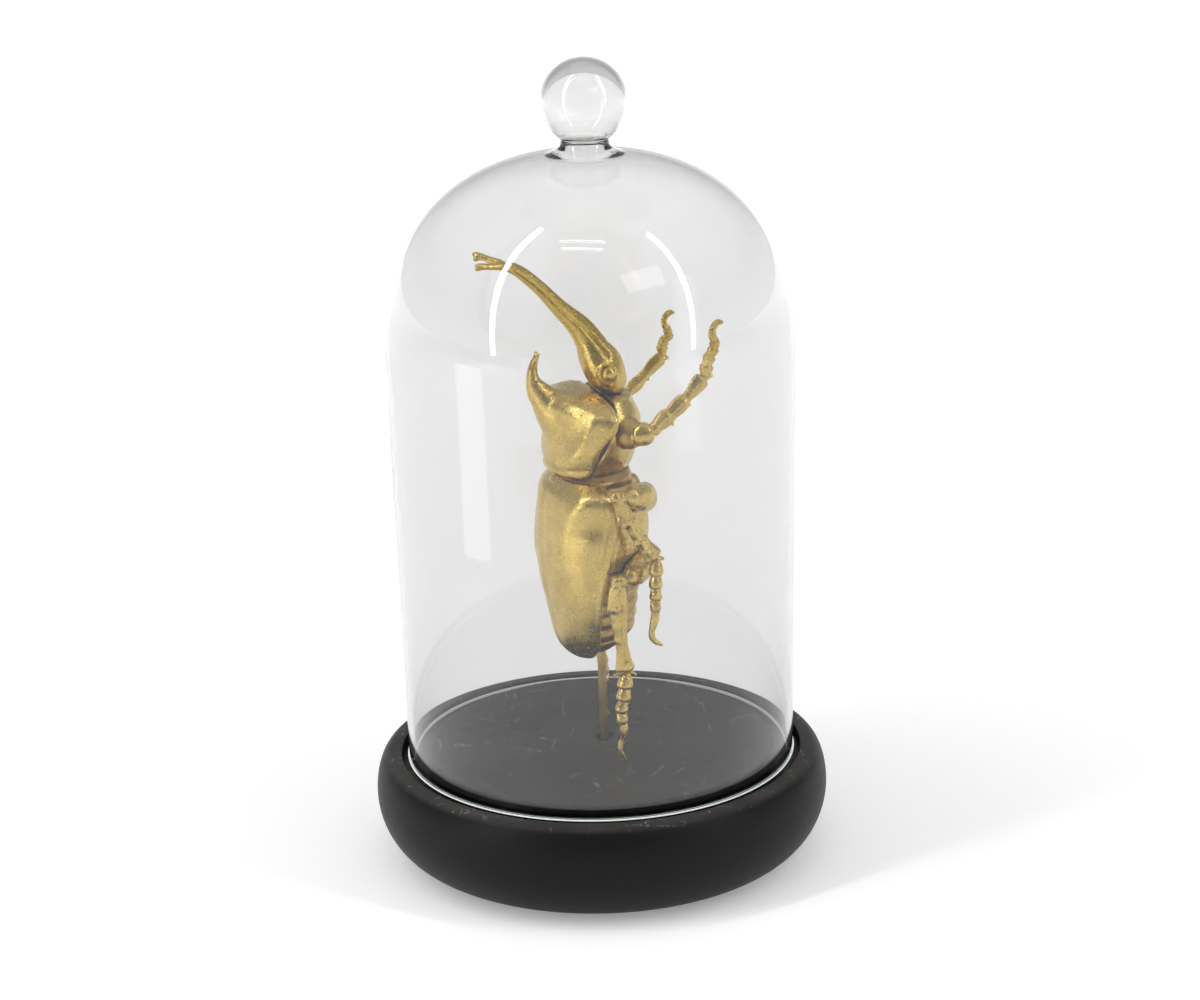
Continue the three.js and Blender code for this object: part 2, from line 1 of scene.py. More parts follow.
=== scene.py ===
"""A gilded rhinoceros beetle on a brass rod, under a blown glass dome on a turned ebonised base.

Everything is in metres and +Z up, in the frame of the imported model. The beetle is shaped in its own
axes in millimetres, (depth, side, height): depth runs from its back (negative) to its belly, side is
positive on its right, and height is along its body.
"""

from __future__ import annotations

import logging
import math
from dataclasses import dataclass
from enum import Enum
from typing import Callable, Sequence

import bpy
import numpy as np
from mathutils import Matrix, Quaternion, Vector


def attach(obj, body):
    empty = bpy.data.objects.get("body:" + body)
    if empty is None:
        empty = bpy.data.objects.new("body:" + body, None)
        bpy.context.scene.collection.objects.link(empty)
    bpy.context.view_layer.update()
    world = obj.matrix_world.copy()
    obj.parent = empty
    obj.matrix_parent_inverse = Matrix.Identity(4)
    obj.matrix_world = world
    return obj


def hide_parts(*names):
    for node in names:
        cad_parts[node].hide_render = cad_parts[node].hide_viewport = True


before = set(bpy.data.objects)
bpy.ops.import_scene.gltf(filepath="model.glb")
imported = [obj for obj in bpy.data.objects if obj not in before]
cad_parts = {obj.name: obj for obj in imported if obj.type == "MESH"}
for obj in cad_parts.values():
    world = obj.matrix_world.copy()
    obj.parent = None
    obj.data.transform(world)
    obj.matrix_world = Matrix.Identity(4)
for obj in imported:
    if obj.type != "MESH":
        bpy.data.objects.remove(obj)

LOG = logging.getLogger("cloche")
MM = 0.001
ROOT = "root"
BEETLE_TURN = math.radians(18)  # the belly faces right and a little away
HEAD_TURN = math.radians(-12)  # the head is turned a little to the beetle's right

Place = tuple[float, float, float]
Row = tuple[float, ...]
Span = tuple[float, float]
Relief = Callable[[np.ndarray, np.ndarray], np.ndarray]
Socket = bpy.types.NodeSocket

DEPTHWAYS: Place = (1, 0, 0)
SIDEWAYS: Place = (0, 1, 0)
UPWARDS: Place = (0, 0, 1)


class Hand(Enum):
    """The side of the beetle that a piece belongs to."""

    RIGHT = 1
    LEFT = -1

    @property
    def word(self) -> str:
        """The side's name as the nodes spell it."""
        return self.name.lower()


# ---- Colour and material nodes ------------------------------------------------------------------


def linear(hex_colour: str) -> tuple[float, float, float, float]:
    """Turns an sRGB hex colour, such as "C4A862", to the linear values that a socket takes."""
    parts = [int(hex_colour[i : i + 2], 16) / 255 for i in (0, 2, 4)]
    red, green, blue = (v / 12.92 if v <= 0.04045 else ((v + 0.055) / 1.055) ** 2.4 for v in parts)
    return (red, green, blue, 1.0)


class Nodes:
    """Fills one node tree; each short method hands back the output that is used next."""

    def __init__(self, tree: bpy.types.NodeTree) -> None:
        """Takes a tree and empties it."""
        self.tree = tree
        tree.nodes.clear()

    def add(self, kind: str, settings: dict | None = None, links: dict | None = None) -> bpy.types.Node:
        """Adds a node.

        Args:
            kind: the node's type without its "ShaderNode" prefix.
            settings: attribute name to value.
            links: input, by name or number, to a plain value or to another node's output.
        """
        made = self.tree.nodes.new("ShaderNode" + kind)
        for key, value in (settings or {}).items():
            setattr(made, key, value)
        for key, value in (links or {}).items():
            if isinstance(value, Socket):
                self.tree.links.new(value, made.inputs[key])
            else:
                made.inputs[key].default_value = value
        return made

    def noise(self, place: Socket, size: float, detail: float = 2.0, roughness: float = 0.5) -> Socket:
        """Gives cloudy noise with lumps of a size in millimetres."""
        return self.add("TexNoise", links={
            "Vector": place, "Scale": 1 / (size * MM), "Detail": detail,
            "Roughness": roughness}).outputs["Fac"]

    def cells(self, place: Socket, size: float, feature: str = "F1") -> bpy.types.Node:
        """Adds random cells of a size in millimetres."""
        return self.add("TexVoronoi", {"feature": feature}, {"Vector": place, "Scale": 1 / (size * MM)})

    def ramp(self, value: Socket, span: Span = (0, 1), to: Span = (0, 1), smooth: bool = False) -> Socket:
        """Maps a span of values on to another span."""
        return self.add("MapRange", {"interpolation_type": "SMOOTHSTEP" if smooth else "LINEAR"}, {
            "Value": value, "From Min": span[0], "From Max": span[1],
            "To Min": to[0], "To Max": to[1]}).outputs[0]

    def maths(self, operation: str, *values: Socket | float) -> Socket:
        """Does one sum."""
        return self.add("Math", {"operation": operation}, dict(enumerate(values))).outputs[0]

    def blend(self, share: Socket, first: Socket | str, second: Socket | str) -> Socket:
        """Mixes two colours, each an output or a hex colour."""
        pair = [linear(tone) if isinstance(tone, str) else tone for tone in (first, second)]
        return self.add("Mix", {"data_type": "RGBA"}, {0: share, 6: pair[0], 7: pair[1]}).outputs[2]

    def bump(self, height: Socket, strength: float, depth: float) -> Socket:
        """Raises a surface by its height map, with a depth in millimetres."""
        return self.add("Bump", links={
            "Height": height, "Strength": strength, "Distance": depth * MM}).outputs["Normal"]

    def stretched(self, place: Socket, scale: Place) -> Socket:
        """Stretches the coordinates along each axis."""
        return self.add("Mapping", links={"Vector": place, "Scale": scale}).outputs[0]

    def axis(self, vector: Socket, name: str) -> Socket:
        """Gives one axis of a vector."""
        return self.add("SeparateXYZ", links={0: vector}).outputs[name]


@dataclass(frozen=True)
class Finish:
    """A surface finish, built once as a material.

    Attributes:
        name: the material's name.
        slot: the record's material slot that it belongs to; it is not used.
    """

    name: str
    slot: str

    def inputs(self, nodes: Nodes, place: Socket) -> dict[str, object]:
        """Gives the shader's inputs, from the object's own coordinates."""
        raise NotImplementedError

    def material(self) -> bpy.types.Material:
        """Returns the finish's material, making it the first time."""
        found = bpy.data.materials.get(self.name)
        if found:
            return found
        made = bpy.data.materials.new(self.name)
        made.use_nodes = True
        nodes = Nodes(made.node_tree)
        place = nodes.add("TexCoord").outputs["Object"]
        shader = nodes.add("BsdfPrincipled", links=self.inputs(nodes, place))
        nodes.add("OutputMaterial", links={"Surface": shader.outputs[0]})
        return made


@dataclass(frozen=True)
class Gilding(Finish):
    """Gold leaf and bronze powder burnished over dried horn, with painted shade in the hollows.

    The leaf gives a pale satin gold with a fine crushed grain; a dark brown painted shade, set by
    ambient occlusion, darkens the recesses and the lines where pieces meet. Sizes are in millimetres.
    """

    bright: str = "EACD78"
    deep: str = "D2B264"
    # dark brown of the painted shade in the hollows
    painted_shade_tone: str = "3C2A12"
    rough: float = 0.3
    grain: float = 0.22  # real leaf grain is under 0.05 mm, so it is drawn coarser to show
    cloud: float = 3.5
    # reach of the ambient occlusion that sets the painted shade, in mm
    hollow: float = 1.1

    def inputs(self, nodes: Nodes, place: Socket) -> dict[str, object]:
        """Gives the gilding: cloudy tone, crushed grain, and painted shade in the hollows."""
        clouds = nodes.noise(place, self.cloud, 4.0, 0.6)
        grain = nodes.noise(place, self.grain * 2, 3.0, 0.7)
        flecks = nodes.cells(place, self.grain * 1.6).outputs["Color"]
        leaf = nodes.blend(nodes.ramp(clouds, (0.3, 0.8)), self.bright, self.deep)
        # painted shade: ambient occlusion darkens the hollows towards dark brown
        open_air = nodes.add("AmbientOcclusion", {"samples": 6}, {"Distance": self.hollow * MM})
        hollow = nodes.ramp(open_air.outputs["AO"], (0.15, 0.62), (0.9, 0.0))
        satin = nodes.ramp(flecks, to=(self.rough - 0.07, self.rough + 0.08))
        return {
            "Base Color": nodes.blend(hollow, leaf, self.painted_shade_tone),
            "Metallic": 1.0,
            "Roughness": nodes.maths("MULTIPLY_ADD", hollow, 0.25, satin),
            "Normal": nodes.bump(nodes.maths("MULTIPLY_ADD", clouds, 0.4, grain), 0.16, 0.08),
        }


@dataclass(frozen=True)
class DrawnBrass(Finish):
    """Brass wire as drawn: warm yellow metal with fine lines along its length. Sizes are in mm."""

    tone: str = "EACD82"
    tarnished: str = "A98848"
    line: float = 0.12
    cloud: float = 4.0

    def inputs(self, nodes: Nodes, place: Socket) -> dict[str, object]:
        """Gives the brass: drawing lines along the wire and a little tarnish."""
        lines = nodes.noise(nodes.stretched(place, (1.0, 1.0, 0.03)), self.line * 2, 3.0)
        tarnish = nodes.noise(place, self.cloud, 3.0)
        return {
            "Base Color": nodes.blend(tarnish, self.tone, self.tarnished),
            "Metallic": 1.0,
            "Roughness": nodes.ramp(lines, to=(0.26, 0.46)),
            "Normal": nodes.bump(lines, 0.4, 0.03),
        }


@dataclass(frozen=True)
class EbonisedBeech(Finish):
    """Beech turned on a lathe, stained black and sprayed with satin lacquer.

    The lacquer gives a soft sheen; flats that face up carry a faint dusting with a painted sheen
    that lightens them, a little lint and a few handling scratches. Sizes are in millimetres.
    """

    stain: str = "0C0C0E"
    worn: str = "141312"
    # pale grey of the dusting and the painted sheen on flats that face up
    dust: str = "8E8A86"
    mark: str = "B9B4AE"
    rough: float = 0.46
    pore: float = 0.5
    cloud: float = 18.0
    lint: float = 1.9
    scratch: float = 7.0

    def inputs(self, nodes: Nodes, place: Socket) -> dict[str, object]:
        """Gives the lacquered wood: closed pores, uneven stain, a dusting and painted sheen on the tops,
        lint and scratches.
        """
        pores = nodes.noise(nodes.stretched(place, (1.0, 0.12, 1.0)), self.pore * 2, 5.0, 0.65)
        clouds = nodes.noise(place, self.cloud, 4.0)
        normal = nodes.add("NewGeometry").outputs["Normal"]
        upward = nodes.ramp(nodes.axis(normal, "Z"), (0.6, 0.97))
        specks = nodes.cells(place, self.lint)
        chance = nodes.add("SeparateColor", links={0: specks.outputs["Color"]}).outputs[0]
        lint = nodes.maths("MULTIPLY", nodes.ramp(specks.outputs["Distance"], (0.13, 0.06)),
                           nodes.ramp(chance, (0.9, 0.92)))
        seams = nodes.cells(place, self.scratch, "DISTANCE_TO_EDGE").outputs["Distance"]
        scratch = nodes.maths("MULTIPLY", nodes.ramp(seams, (0.022, 0.0)),
                              nodes.ramp(pores, (0.5, 0.6), (0.0, 0.4)))
        marks = nodes.maths("MULTIPLY", nodes.maths("MAXIMUM", lint, scratch), upward)
        # dusting and painted sheen: flats that face up are lightened towards pale grey
        dust_and_sheen = nodes.ramp(nodes.maths("MULTIPLY", clouds, upward), to=(0.0, 0.28))
        dusted_and_sheened = nodes.blend(dust_and_sheen, nodes.blend(clouds, self.stain, self.worn), self.dust)
        return {
            "Base Color": nodes.blend(marks, dusted_and_sheened, self.mark),
            "Roughness": nodes.ramp(pores, to=(self.rough - 0.06, self.rough + 0.08)),
            "IOR": 1.5,
            "Specular IOR Level": 0.16,
            "Normal": nodes.bump(pores, 0.25, 0.05),
        }


@dataclass(frozen=True)
class BlownGlass(Finish):
    """Soda-lime glass, blown and fire-polished: clear, with a trace of grey through its edges."""

    tint: str = "EAEAEA"
    wave: float = 24.0  # mm

    def inputs(self, nodes: Nodes, place: Socket) -> dict[str, object]:
        """Gives the glass, with the slow waves that blowing leaves in its skin."""
        return {
            "Base Color": linear(self.tint),
            "Roughness": 0.0,
            "IOR": 1.5,
            "Transmission Weight": 1.0,
            "Normal": nodes.bump(nodes.noise(place, self.wave, 1.0), 0.12, 0.15),
        }


@dataclass(frozen=True)
class GroundGlass(Finish):
    """The dome's foot, ground on a wheel: white and finely frosted.

    Light piped down the glass wall leaves through it, so it gives a bright thin line; that light is a
    small emission.
    """

    tone: str = "F4F8F7"
    pitted: str = "D5E2DC"
    glow: str = "F2FAF8"
    pit: float = 0.3  # mm

    def inputs(self, nodes: Nodes, place: Socket) -> dict[str, object]:
        """Gives the frosted edge with its fine grinding pits."""
        pits = nodes.noise(place, self.pit, 3.0)
        return {
            "Base Color": nodes.blend(pits, self.tone, self.pitted),
            "Roughness": 0.3,
            "IOR": 1.5,
            "Emission Color": linear(self.glow),
            "Emission Strength": 0.4,
            "Normal": nodes.bump(pits, 0.3, 0.05),
        }


@dataclass(frozen=True)
class StudioPaper(Finish):
    """White background paper, matt, with a faint tooth.

    A wash light lifts it round the object, and more so behind; that wash is a small emission.
    """

    tone: str = "F7F7F7"
    glow: str = "FFFFFF"
    tooth: float = 2.0  # mm

    def inputs(self, nodes: Nodes, place: Socket) -> dict[str, object]:
        """Gives the matt paper and its wash, by distance behind the object in metres."""
        along = nodes.axis(place, "Y")
        far = nodes.ramp(along, (-0.05, 1.1), (0.0, 0.58), smooth=True)
        near = nodes.ramp(along, (-0.5, -0.09), (0.0, 0.25), smooth=True)
        return {
            "Base Color": linear(self.tone),
            "Roughness": 0.9,
            "Normal": nodes.bump(nodes.noise(place, self.tooth), 0.05, 0.05),
            "Emission Color": linear(self.glow),
            "Emission Strength": nodes.maths("ADD", far, near),
        }


GOLD = Gilding("burnished_gilding", "gold")
# a darker copy of the gilding for the pieces under and between others: painted shade
GOLD_DEEP = Gilding("shaded_gilding", "gold_deep", bright="D2AF62", deep="A98440", rough=0.33)
BRASS = DrawnBrass("drawn_brass_wire", "rod_brass")
EBONY = EbonisedBeech("ebonised_beech", "ebonised_wood")
GLASS = BlownGlass("blown_glass", "dome_glass")
GROUND = GroundGlass("ground_glass", "dome_glass")
PAPER = StudioPaper("studio_paper", "")


# ---- Shaping ------------------------------------------------------------------------------------


@dataclass
class Skin:
    """A closed surface: its points, and its faces as rows of point numbers."""

    points: np.ndarray
    faces: list[tuple[int, ...]]

    def moved(self, change: Callable[[np.ndarray], np.ndarray]) -> "Skin":
        """Returns the skin with its points changed."""
        return Skin(change(self.points), self.faces)


def full_turn(sides: int) -> np.ndarray:
    """Gives one row of angles, evenly round a full turn."""
    return (np.arange(sides) / sides * 2 * np.pi)[None, :]


def eased(count: int) -> np.ndarray:
    """Gives shares from 0 to 1 that lie closer together at both ends."""
    return (1 - np.cos(np.pi * np.linspace(0, 1, count))) / 2


def curved(low: np.ndarray, slope_low: np.ndarray, high: np.ndarray, slope_high: np.ndarray,
           u: np.ndarray) -> np.ndarray:
    """Gives the smooth curve from low to high with a slope at each end, as u goes from 0 to 1."""
    return (low * (2 * u**3 - 3 * u**2 + 1) + slope_low * (u**3 - 2 * u**2 + u)
            + high * (3 * u**2 - 2 * u**3) + slope_high * (u**3 - u**2))


def rows_at(rows: Sequence[Row], keys: np.ndarray) -> np.ndarray:
    """Reads smooth values between the rows of a table whose first column is the key.

    Returns:
        One row of the other columns for each key.
    """
    table = np.asarray(rows, dtype=float)
    last = len(table) - 1
    keys = np.clip(keys, table[0, 0], table[-1, 0])
    row = np.clip(np.searchsorted(table[:, 0], keys, side="left") - 1, 0, last - 1)
    low, high = table[row], table[row + 1]
    before, after = table[np.maximum(row - 1, 0)], table[np.minimum(row + 2, last)]
    span = (high[:, 0] - low[:, 0])[:, None]
    slope_low = (high - before) / (high[:, 0] - before[:, 0])[:, None] * span
    slope_high = (after - low) / (after[:, 0] - low[:, 0])[:, None] * span
    return curved(low, slope_low, high, slope_high, (keys - low[:, 0])[:, None] / span)[:, 1:]


def columns_at(rows: Sequence[Row], keys: np.ndarray) -> tuple[np.ndarray, ...]:
    """Reads a table as rows_at does, and gives each other column as an upright array."""
    return tuple(column[:, None] for column in rows_at(rows, keys).T)


def facing_out(skin: Skin) -> Skin:
    """Turns a skin's faces outward if they face in."""
    corners = np.array([face[:3] for face in skin.faces])
    a, b, c = (skin.points[corners[:, i]] for i in range(3))
    if float(np.einsum("ij,ij->i", a, np.cross(b, c)).sum()) < 0:
        return Skin(skin.points, [face[::-1] for face in skin.faces])
    return skin


def closed_skin(grid: np.ndarray) -> Skin:
    """Closes a grid of rings, as (rings, sides, 3), into a skin with a fan at each end."""
    rings, sides, _ = grid.shape
    points = np.vstack([grid.reshape(-1, 3), grid[0].mean(0), grid[-1].mean(0)])
    pairs = [(side, (side + 1) % sides) for side in range(sides)]
    faces: list[tuple[int, ...]] = [
        (row + side, row + beside, row + sides + beside, row + sides + side)
        for row in range(0, (rings - 1) * sides, sides) for side, beside in pairs]
    first, end_row = rings * sides, (rings - 1) * sides
    for side, beside in pairs:
        faces.append((first, beside, side))
        faces.append((first + 1, end_row + side, end_row + beside))
    return facing_out(Skin(points, faces))


def segment(rows: Sequence[Row], sides: int, rings: int, relief: Relief | None = None) -> Skin:
    """Makes a body segment in the beetle's axes.

    Args:
        rows: [height, half width, depth of its side margin, rise to the back, drop to the belly].
        sides: points round it.
        rings: rings along it, closer together at the ends.
        relief: extra thickness for arrays of height and angle, where angle 0 is the back.
    """
    height = rows[0][0] + (rows[-1][0] - rows[0][0]) * eased(rings)
    half, margin, rise, drop = columns_at(rows, height)
    angle = full_turn(sides)
    extra = relief(height[:, None], angle) if relief else 0.0
    to_back = np.cos(angle)
    deep = np.where(to_back > 0, -(rise + extra) * to_back, (drop + extra) * -to_back)
    across = (half + extra) * np.sin(angle)
    level = np.broadcast_to(height[:, None], across.shape)
    return closed_skin(np.stack([margin + deep, across, level], axis=-1))


def smooth_path(places: Sequence[Place], share: np.ndarray) -> tuple[np.ndarray, np.ndarray]:
    """Follows a centripetal curve through some places.

    Args:
        places: the places.
        share: how far along, from 0 to 1 by length.

    Returns:
        The points and the unit directions there.
    """
    p = np.asarray(places, dtype=float)
    p = np.vstack([2 * p[0] - p[1], p, 2 * p[-1] - p[-2]])
    dense: list[np.ndarray] = []
    u = np.linspace(0, 1, 60)[:, None]
    for a, b, c, d in zip(p[:-3], p[1:-2], p[2:-1], p[3:]):
        gap_a, gap_b, gap_c = (math.sqrt(max(np.linalg.norm(step), 1e-9)) for step in (b - a, c - b, d - c))
        slope_b = ((b - a) / gap_a - (c - a) / (gap_a + gap_b) + (c - b) / gap_b) * gap_b
        slope_c = ((c - b) / gap_b - (d - b) / (gap_b + gap_c) + (d - c) / gap_c) * gap_b
        dense.append(curved(b, slope_b, c, slope_c, u))
    line = np.vstack(dense)
    run = np.concatenate([[0], np.cumsum(np.linalg.norm(np.diff(line, axis=0), axis=1))])
    run /= run[-1]
    step = 0.01
    at_share, front, back = (
        np.stack([np.interp(s, run, line[:, k]) for k in range(3)], axis=-1)
        for s in (share, np.clip(share + step, 0, 1), np.clip(share - step, 0, 1))
    )
    way = front - back
    return at_share, way / np.linalg.norm(way, axis=1)[:, None]


def limb(
    places: Sequence[Place],
    rows: Sequence[Row],
    wide: Place,
    sides: int = 20,
    rings: int = 40,
    cap: float = 0.08,
    relief: Relief | None = None,
) -> Skin:
    """Makes a limb along a path.

    Args:
        places: the path.
        rows: [share along it, half width, half thickness].
        wide: the direction that the width is measured along.
        sides: points round it.
        rings: rings along it.
        cap: the share of its length that each rounded end takes.
        relief: a factor on its thickness for arrays of share and angle.
    """
    share = eased(rings)
    centre, way = smooth_path(places, share)
    half, thick = columns_at(rows, share)
    to_end = np.minimum(np.minimum(share, 1 - share), cap) / cap
    rounding = (0.05 + 0.95 * np.sqrt(np.maximum(1 - (1 - to_end) ** 2, 0)))[:, None]
    angle = full_turn(sides)
    scale = rounding * (relief(share[:, None], angle) if relief else 1.0)
    aim = np.asarray(wide, dtype=float)
    across = aim[None, :] - way * (way @ aim)[:, None]
    across /= np.linalg.norm(across, axis=1)[:, None]
    through = np.cross(way, across)
    return closed_skin(
        centre[:, None, :]
        + across[:, None, :] * (half * scale * np.cos(angle))[..., None]
        + through[:, None, :] * (thick * scale * np.sin(angle))[..., None]
    )


def ball(centre: Place, halves: Place, sides: int = 32, rings: int = 20) -> Skin:
    """Makes an egg shape from its centre and its half sizes."""
    pole = np.linspace(0.02, np.pi - 0.02, rings)[:, None]
    turn = full_turn(sides)
    grid = np.stack([np.sin(pole) * np.cos(turn), np.sin(pole) * np.sin(turn), np.cos(pole) + 0 * turn],
                    axis=-1)
    return closed_skin(np.asarray(centre) + np.asarray(halves) * grid)


def turned(profile: Sequence[Span], sides: int) -> Skin:
    """Turns a closed profile of (radius, height) round the upright axis; it starts and ends on it."""
    line = np.asarray(profile, dtype=float)[1:-1]
    turn = full_turn(sides)
    radius, height = line[:, 0][:, None], line[:, 1][:, None]
    return closed_skin(np.stack([radius * np.cos(turn), radius * np.sin(turn), height + 0 * turn], axis=-1))


def arc(centre: Span, radius: float, start: float, stop: float, steps: int) -> list[Span]:
    """Gives the points of a profile's round edge, from start to stop in degrees."""
    angles = np.radians(np.linspace(start, stop, steps + 1))
    return [(centre[0] + radius * math.cos(a), centre[1] + radius * math.sin(a)) for a in angles]


def as_mesh(name: str, skin: Skin) -> bpy.types.Mesh:
    """Makes a mesh of a skin."""
    mesh = bpy.data.meshes.new(name)
    mesh.from_pydata([tuple(p) for p in skin.points.tolist()], [], skin.faces)
    mesh.update()
    return mesh


def in_scene(name: str, data: bpy.types.ID) -> bpy.types.Object:
    """Puts a new object in the scene."""
    made = bpy.data.objects.new(name, data)
    bpy.context.scene.collection.objects.link(made)
    return made


def worked(piece: bpy.types.Object) -> bpy.types.Mesh:
    """Gives the mesh that an object's modifiers make."""
    return bpy.data.meshes.new_from_object(piece.evaluated_get(bpy.context.evaluated_depsgraph_get()))


def fused(skins: Sequence[Skin], grain: float, relax: int = 4, melt: int = 0) -> Skin:
    """Grows overlapping skins together into one, with soft fillets where they meet.

    Args:
        skins: the skins.
        grain: the size of the new faces, in millimetres.
        relax: how many times the join is smoothed, keeping its size.
        melt: how many times it is smoothed after that without keeping its size.
    """
    faces: list[tuple[int, ...]] = []
    start = 0
    for skin in skins:
        faces.extend(tuple(i + start for i in face) for face in skin.faces)
        start += len(skin.points)
    rough = Skin(np.vstack([skin.points for skin in skins]), faces)
    holder = in_scene("fusing", as_mesh("fusing", rough))
    remesh = holder.modifiers.new("fuse", "REMESH")
    remesh.mode = "VOXEL"
    remesh.voxel_size = grain
    mesh = worked(holder)
    count = len(mesh.vertices)
    flat = np.empty(count * 3)
    mesh.vertices.foreach_get("co", flat)
    edges = np.empty(len(mesh.edges) * 2, dtype=np.int64)
    mesh.edges.foreach_get("vertices", edges)
    faces = [tuple(face.vertices) for face in mesh.polygons]
    bpy.data.objects.remove(holder)
    bpy.data.meshes.remove(mesh)
    points = flat.reshape(-1, 3)
    a, b = edges.reshape(-1, 2).T
    share = np.bincount(np.concatenate([a, b]), minlength=count)[:, None]
    draw_in, push_out = 0.5, -0.52
    for step in range(relax * 2 + melt):
        total = np.zeros_like(points)
        for k in range(3):
            total[:, k] = np.bincount(a, points[b, k], count) + np.bincount(b, points[a, k], count)
        pull = push_out if step < relax * 2 and step % 2 else draw_in
        points = points + (total / share - points) * pull
    return facing_out(Skin(points, faces))


@dataclass(frozen=True)
class Score:
    """A line cut into a surface, or raised on it where its depth is negative."""

    places: Sequence[Place]
    width: float
    depth: float

    def sink(self, points: np.ndarray) -> np.ndarray:
        """Returns how far each point sinks, in millimetres."""
        near = np.full(len(points), 1e9)
        line = np.asarray(self.places, dtype=float)
        for start, stop in zip(line[:-1], line[1:]):
            way = stop - start
            u = np.clip((points - start) @ way / max(float(way @ way), 1e-9), 0, 1)
            near = np.minimum(near, ((points - start - u[:, None] * way) ** 2).sum(1))
        return self.depth * np.exp(-near / self.width**2)


@dataclass(frozen=True)
class Dent:
    """A soft hollow with its own size along each axis, or a swelling where its depth is negative."""

    centre: Place
    halves: Place
    depth: float

    def sink(self, points: np.ndarray) -> np.ndarray:
        """Returns how far each point sinks, in millimetres."""
        away = (points - np.asarray(self.centre)) / np.asarray(self.halves)
        return self.depth * np.exp(-(away**2).sum(1))


@dataclass(frozen=True)
class Ripple:
    """Uneven growth: a slow random roughness over the whole surface."""

    size: float
    depth: float
    seed: int
    waves: int = 10

    def sink(self, points: np.ndarray) -> np.ndarray:
        """Returns how far each point sinks, in millimetres."""
        rng = np.random.default_rng(self.seed)
        total = np.zeros(len(points))
        for _ in range(self.waves):
            wave = rng.normal(size=3)
            wave *= rng.uniform(0.6, 1.6) * 2 * np.pi / self.size / np.linalg.norm(wave)
            total += np.sin(points @ wave + rng.uniform(0, 2 * np.pi))
        return total * self.depth / self.waves


Mark = Score | Dent | Ripple


def carved(skin: Skin, marks: Sequence[Mark]) -> Skin:
    """Cuts marks into a skin along its own normals."""
    mesh = as_mesh("carving", skin)
    flat = np.empty(len(skin.points) * 3)
    mesh.vertex_normals.foreach_get("vector", flat)
    bpy.data.meshes.remove(mesh)
    sink = sum((mark.sink(skin.points) for mark in marks), np.zeros(len(skin.points)))
    return Skin(skin.points - flat.reshape(-1, 3) * sink[:, None], skin.faces)


def mirrored(places: Sequence[Place]) -> list[Place]:
    """Gives the same places on the beetle's other side."""
    return [(depth, -side, height) for depth, side, height in places]


def head_axes(points: np.ndarray) -> np.ndarray:
    """Turns points from the head's own axes to the beetle's, about the upright axis."""
    c, s = math.cos(HEAD_TURN), math.sin(HEAD_TURN)
    depth, side = points[:, 0], points[:, 1]
    return np.stack([depth * c + side * s, side * c - depth * s, points[:, 2]], axis=-1)


def from_beetle(points: np.ndarray) -> np.ndarray:
    """Turns points from the beetle's axes in millimetres to the frame in metres."""
    c, s = math.cos(BEETLE_TURN), math.sin(BEETLE_TURN)
    x, y = points[:, 0], -points[:, 1]
    return np.stack([x * c - y * s, x * s + y * c, points[:, 2]], axis=-1) * MM


def placed(name: str, skin: Skin, finish: Finish, node: str, upright: bool = False) -> bpy.types.Object:
    """Puts a finished piece in the scene in place of its solid.

    Args:
        name: the piece's name.
        skin: its skin, in millimetres.
        finish: its finish.
        node: the solid that it stands for.
        upright: whether the skin is already in the frame's axes and not the beetle's.
    """
    change = (lambda points: points * MM) if upright else from_beetle
    mesh = as_mesh(name, facing_out(skin.moved(change)))
    mesh.polygons.foreach_set("use_smooth", [True] * len(mesh.polygons))
    mesh.materials.append(finish.material())
    piece = in_scene(name, mesh)
    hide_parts(node)
    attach(piece, ROOT)
    LOG.info("%s: %d faces, %s", name, len(mesh.polygons), finish.name)
    return piece


# ---- Base, dome and rod -------------------------------------------------------------------------


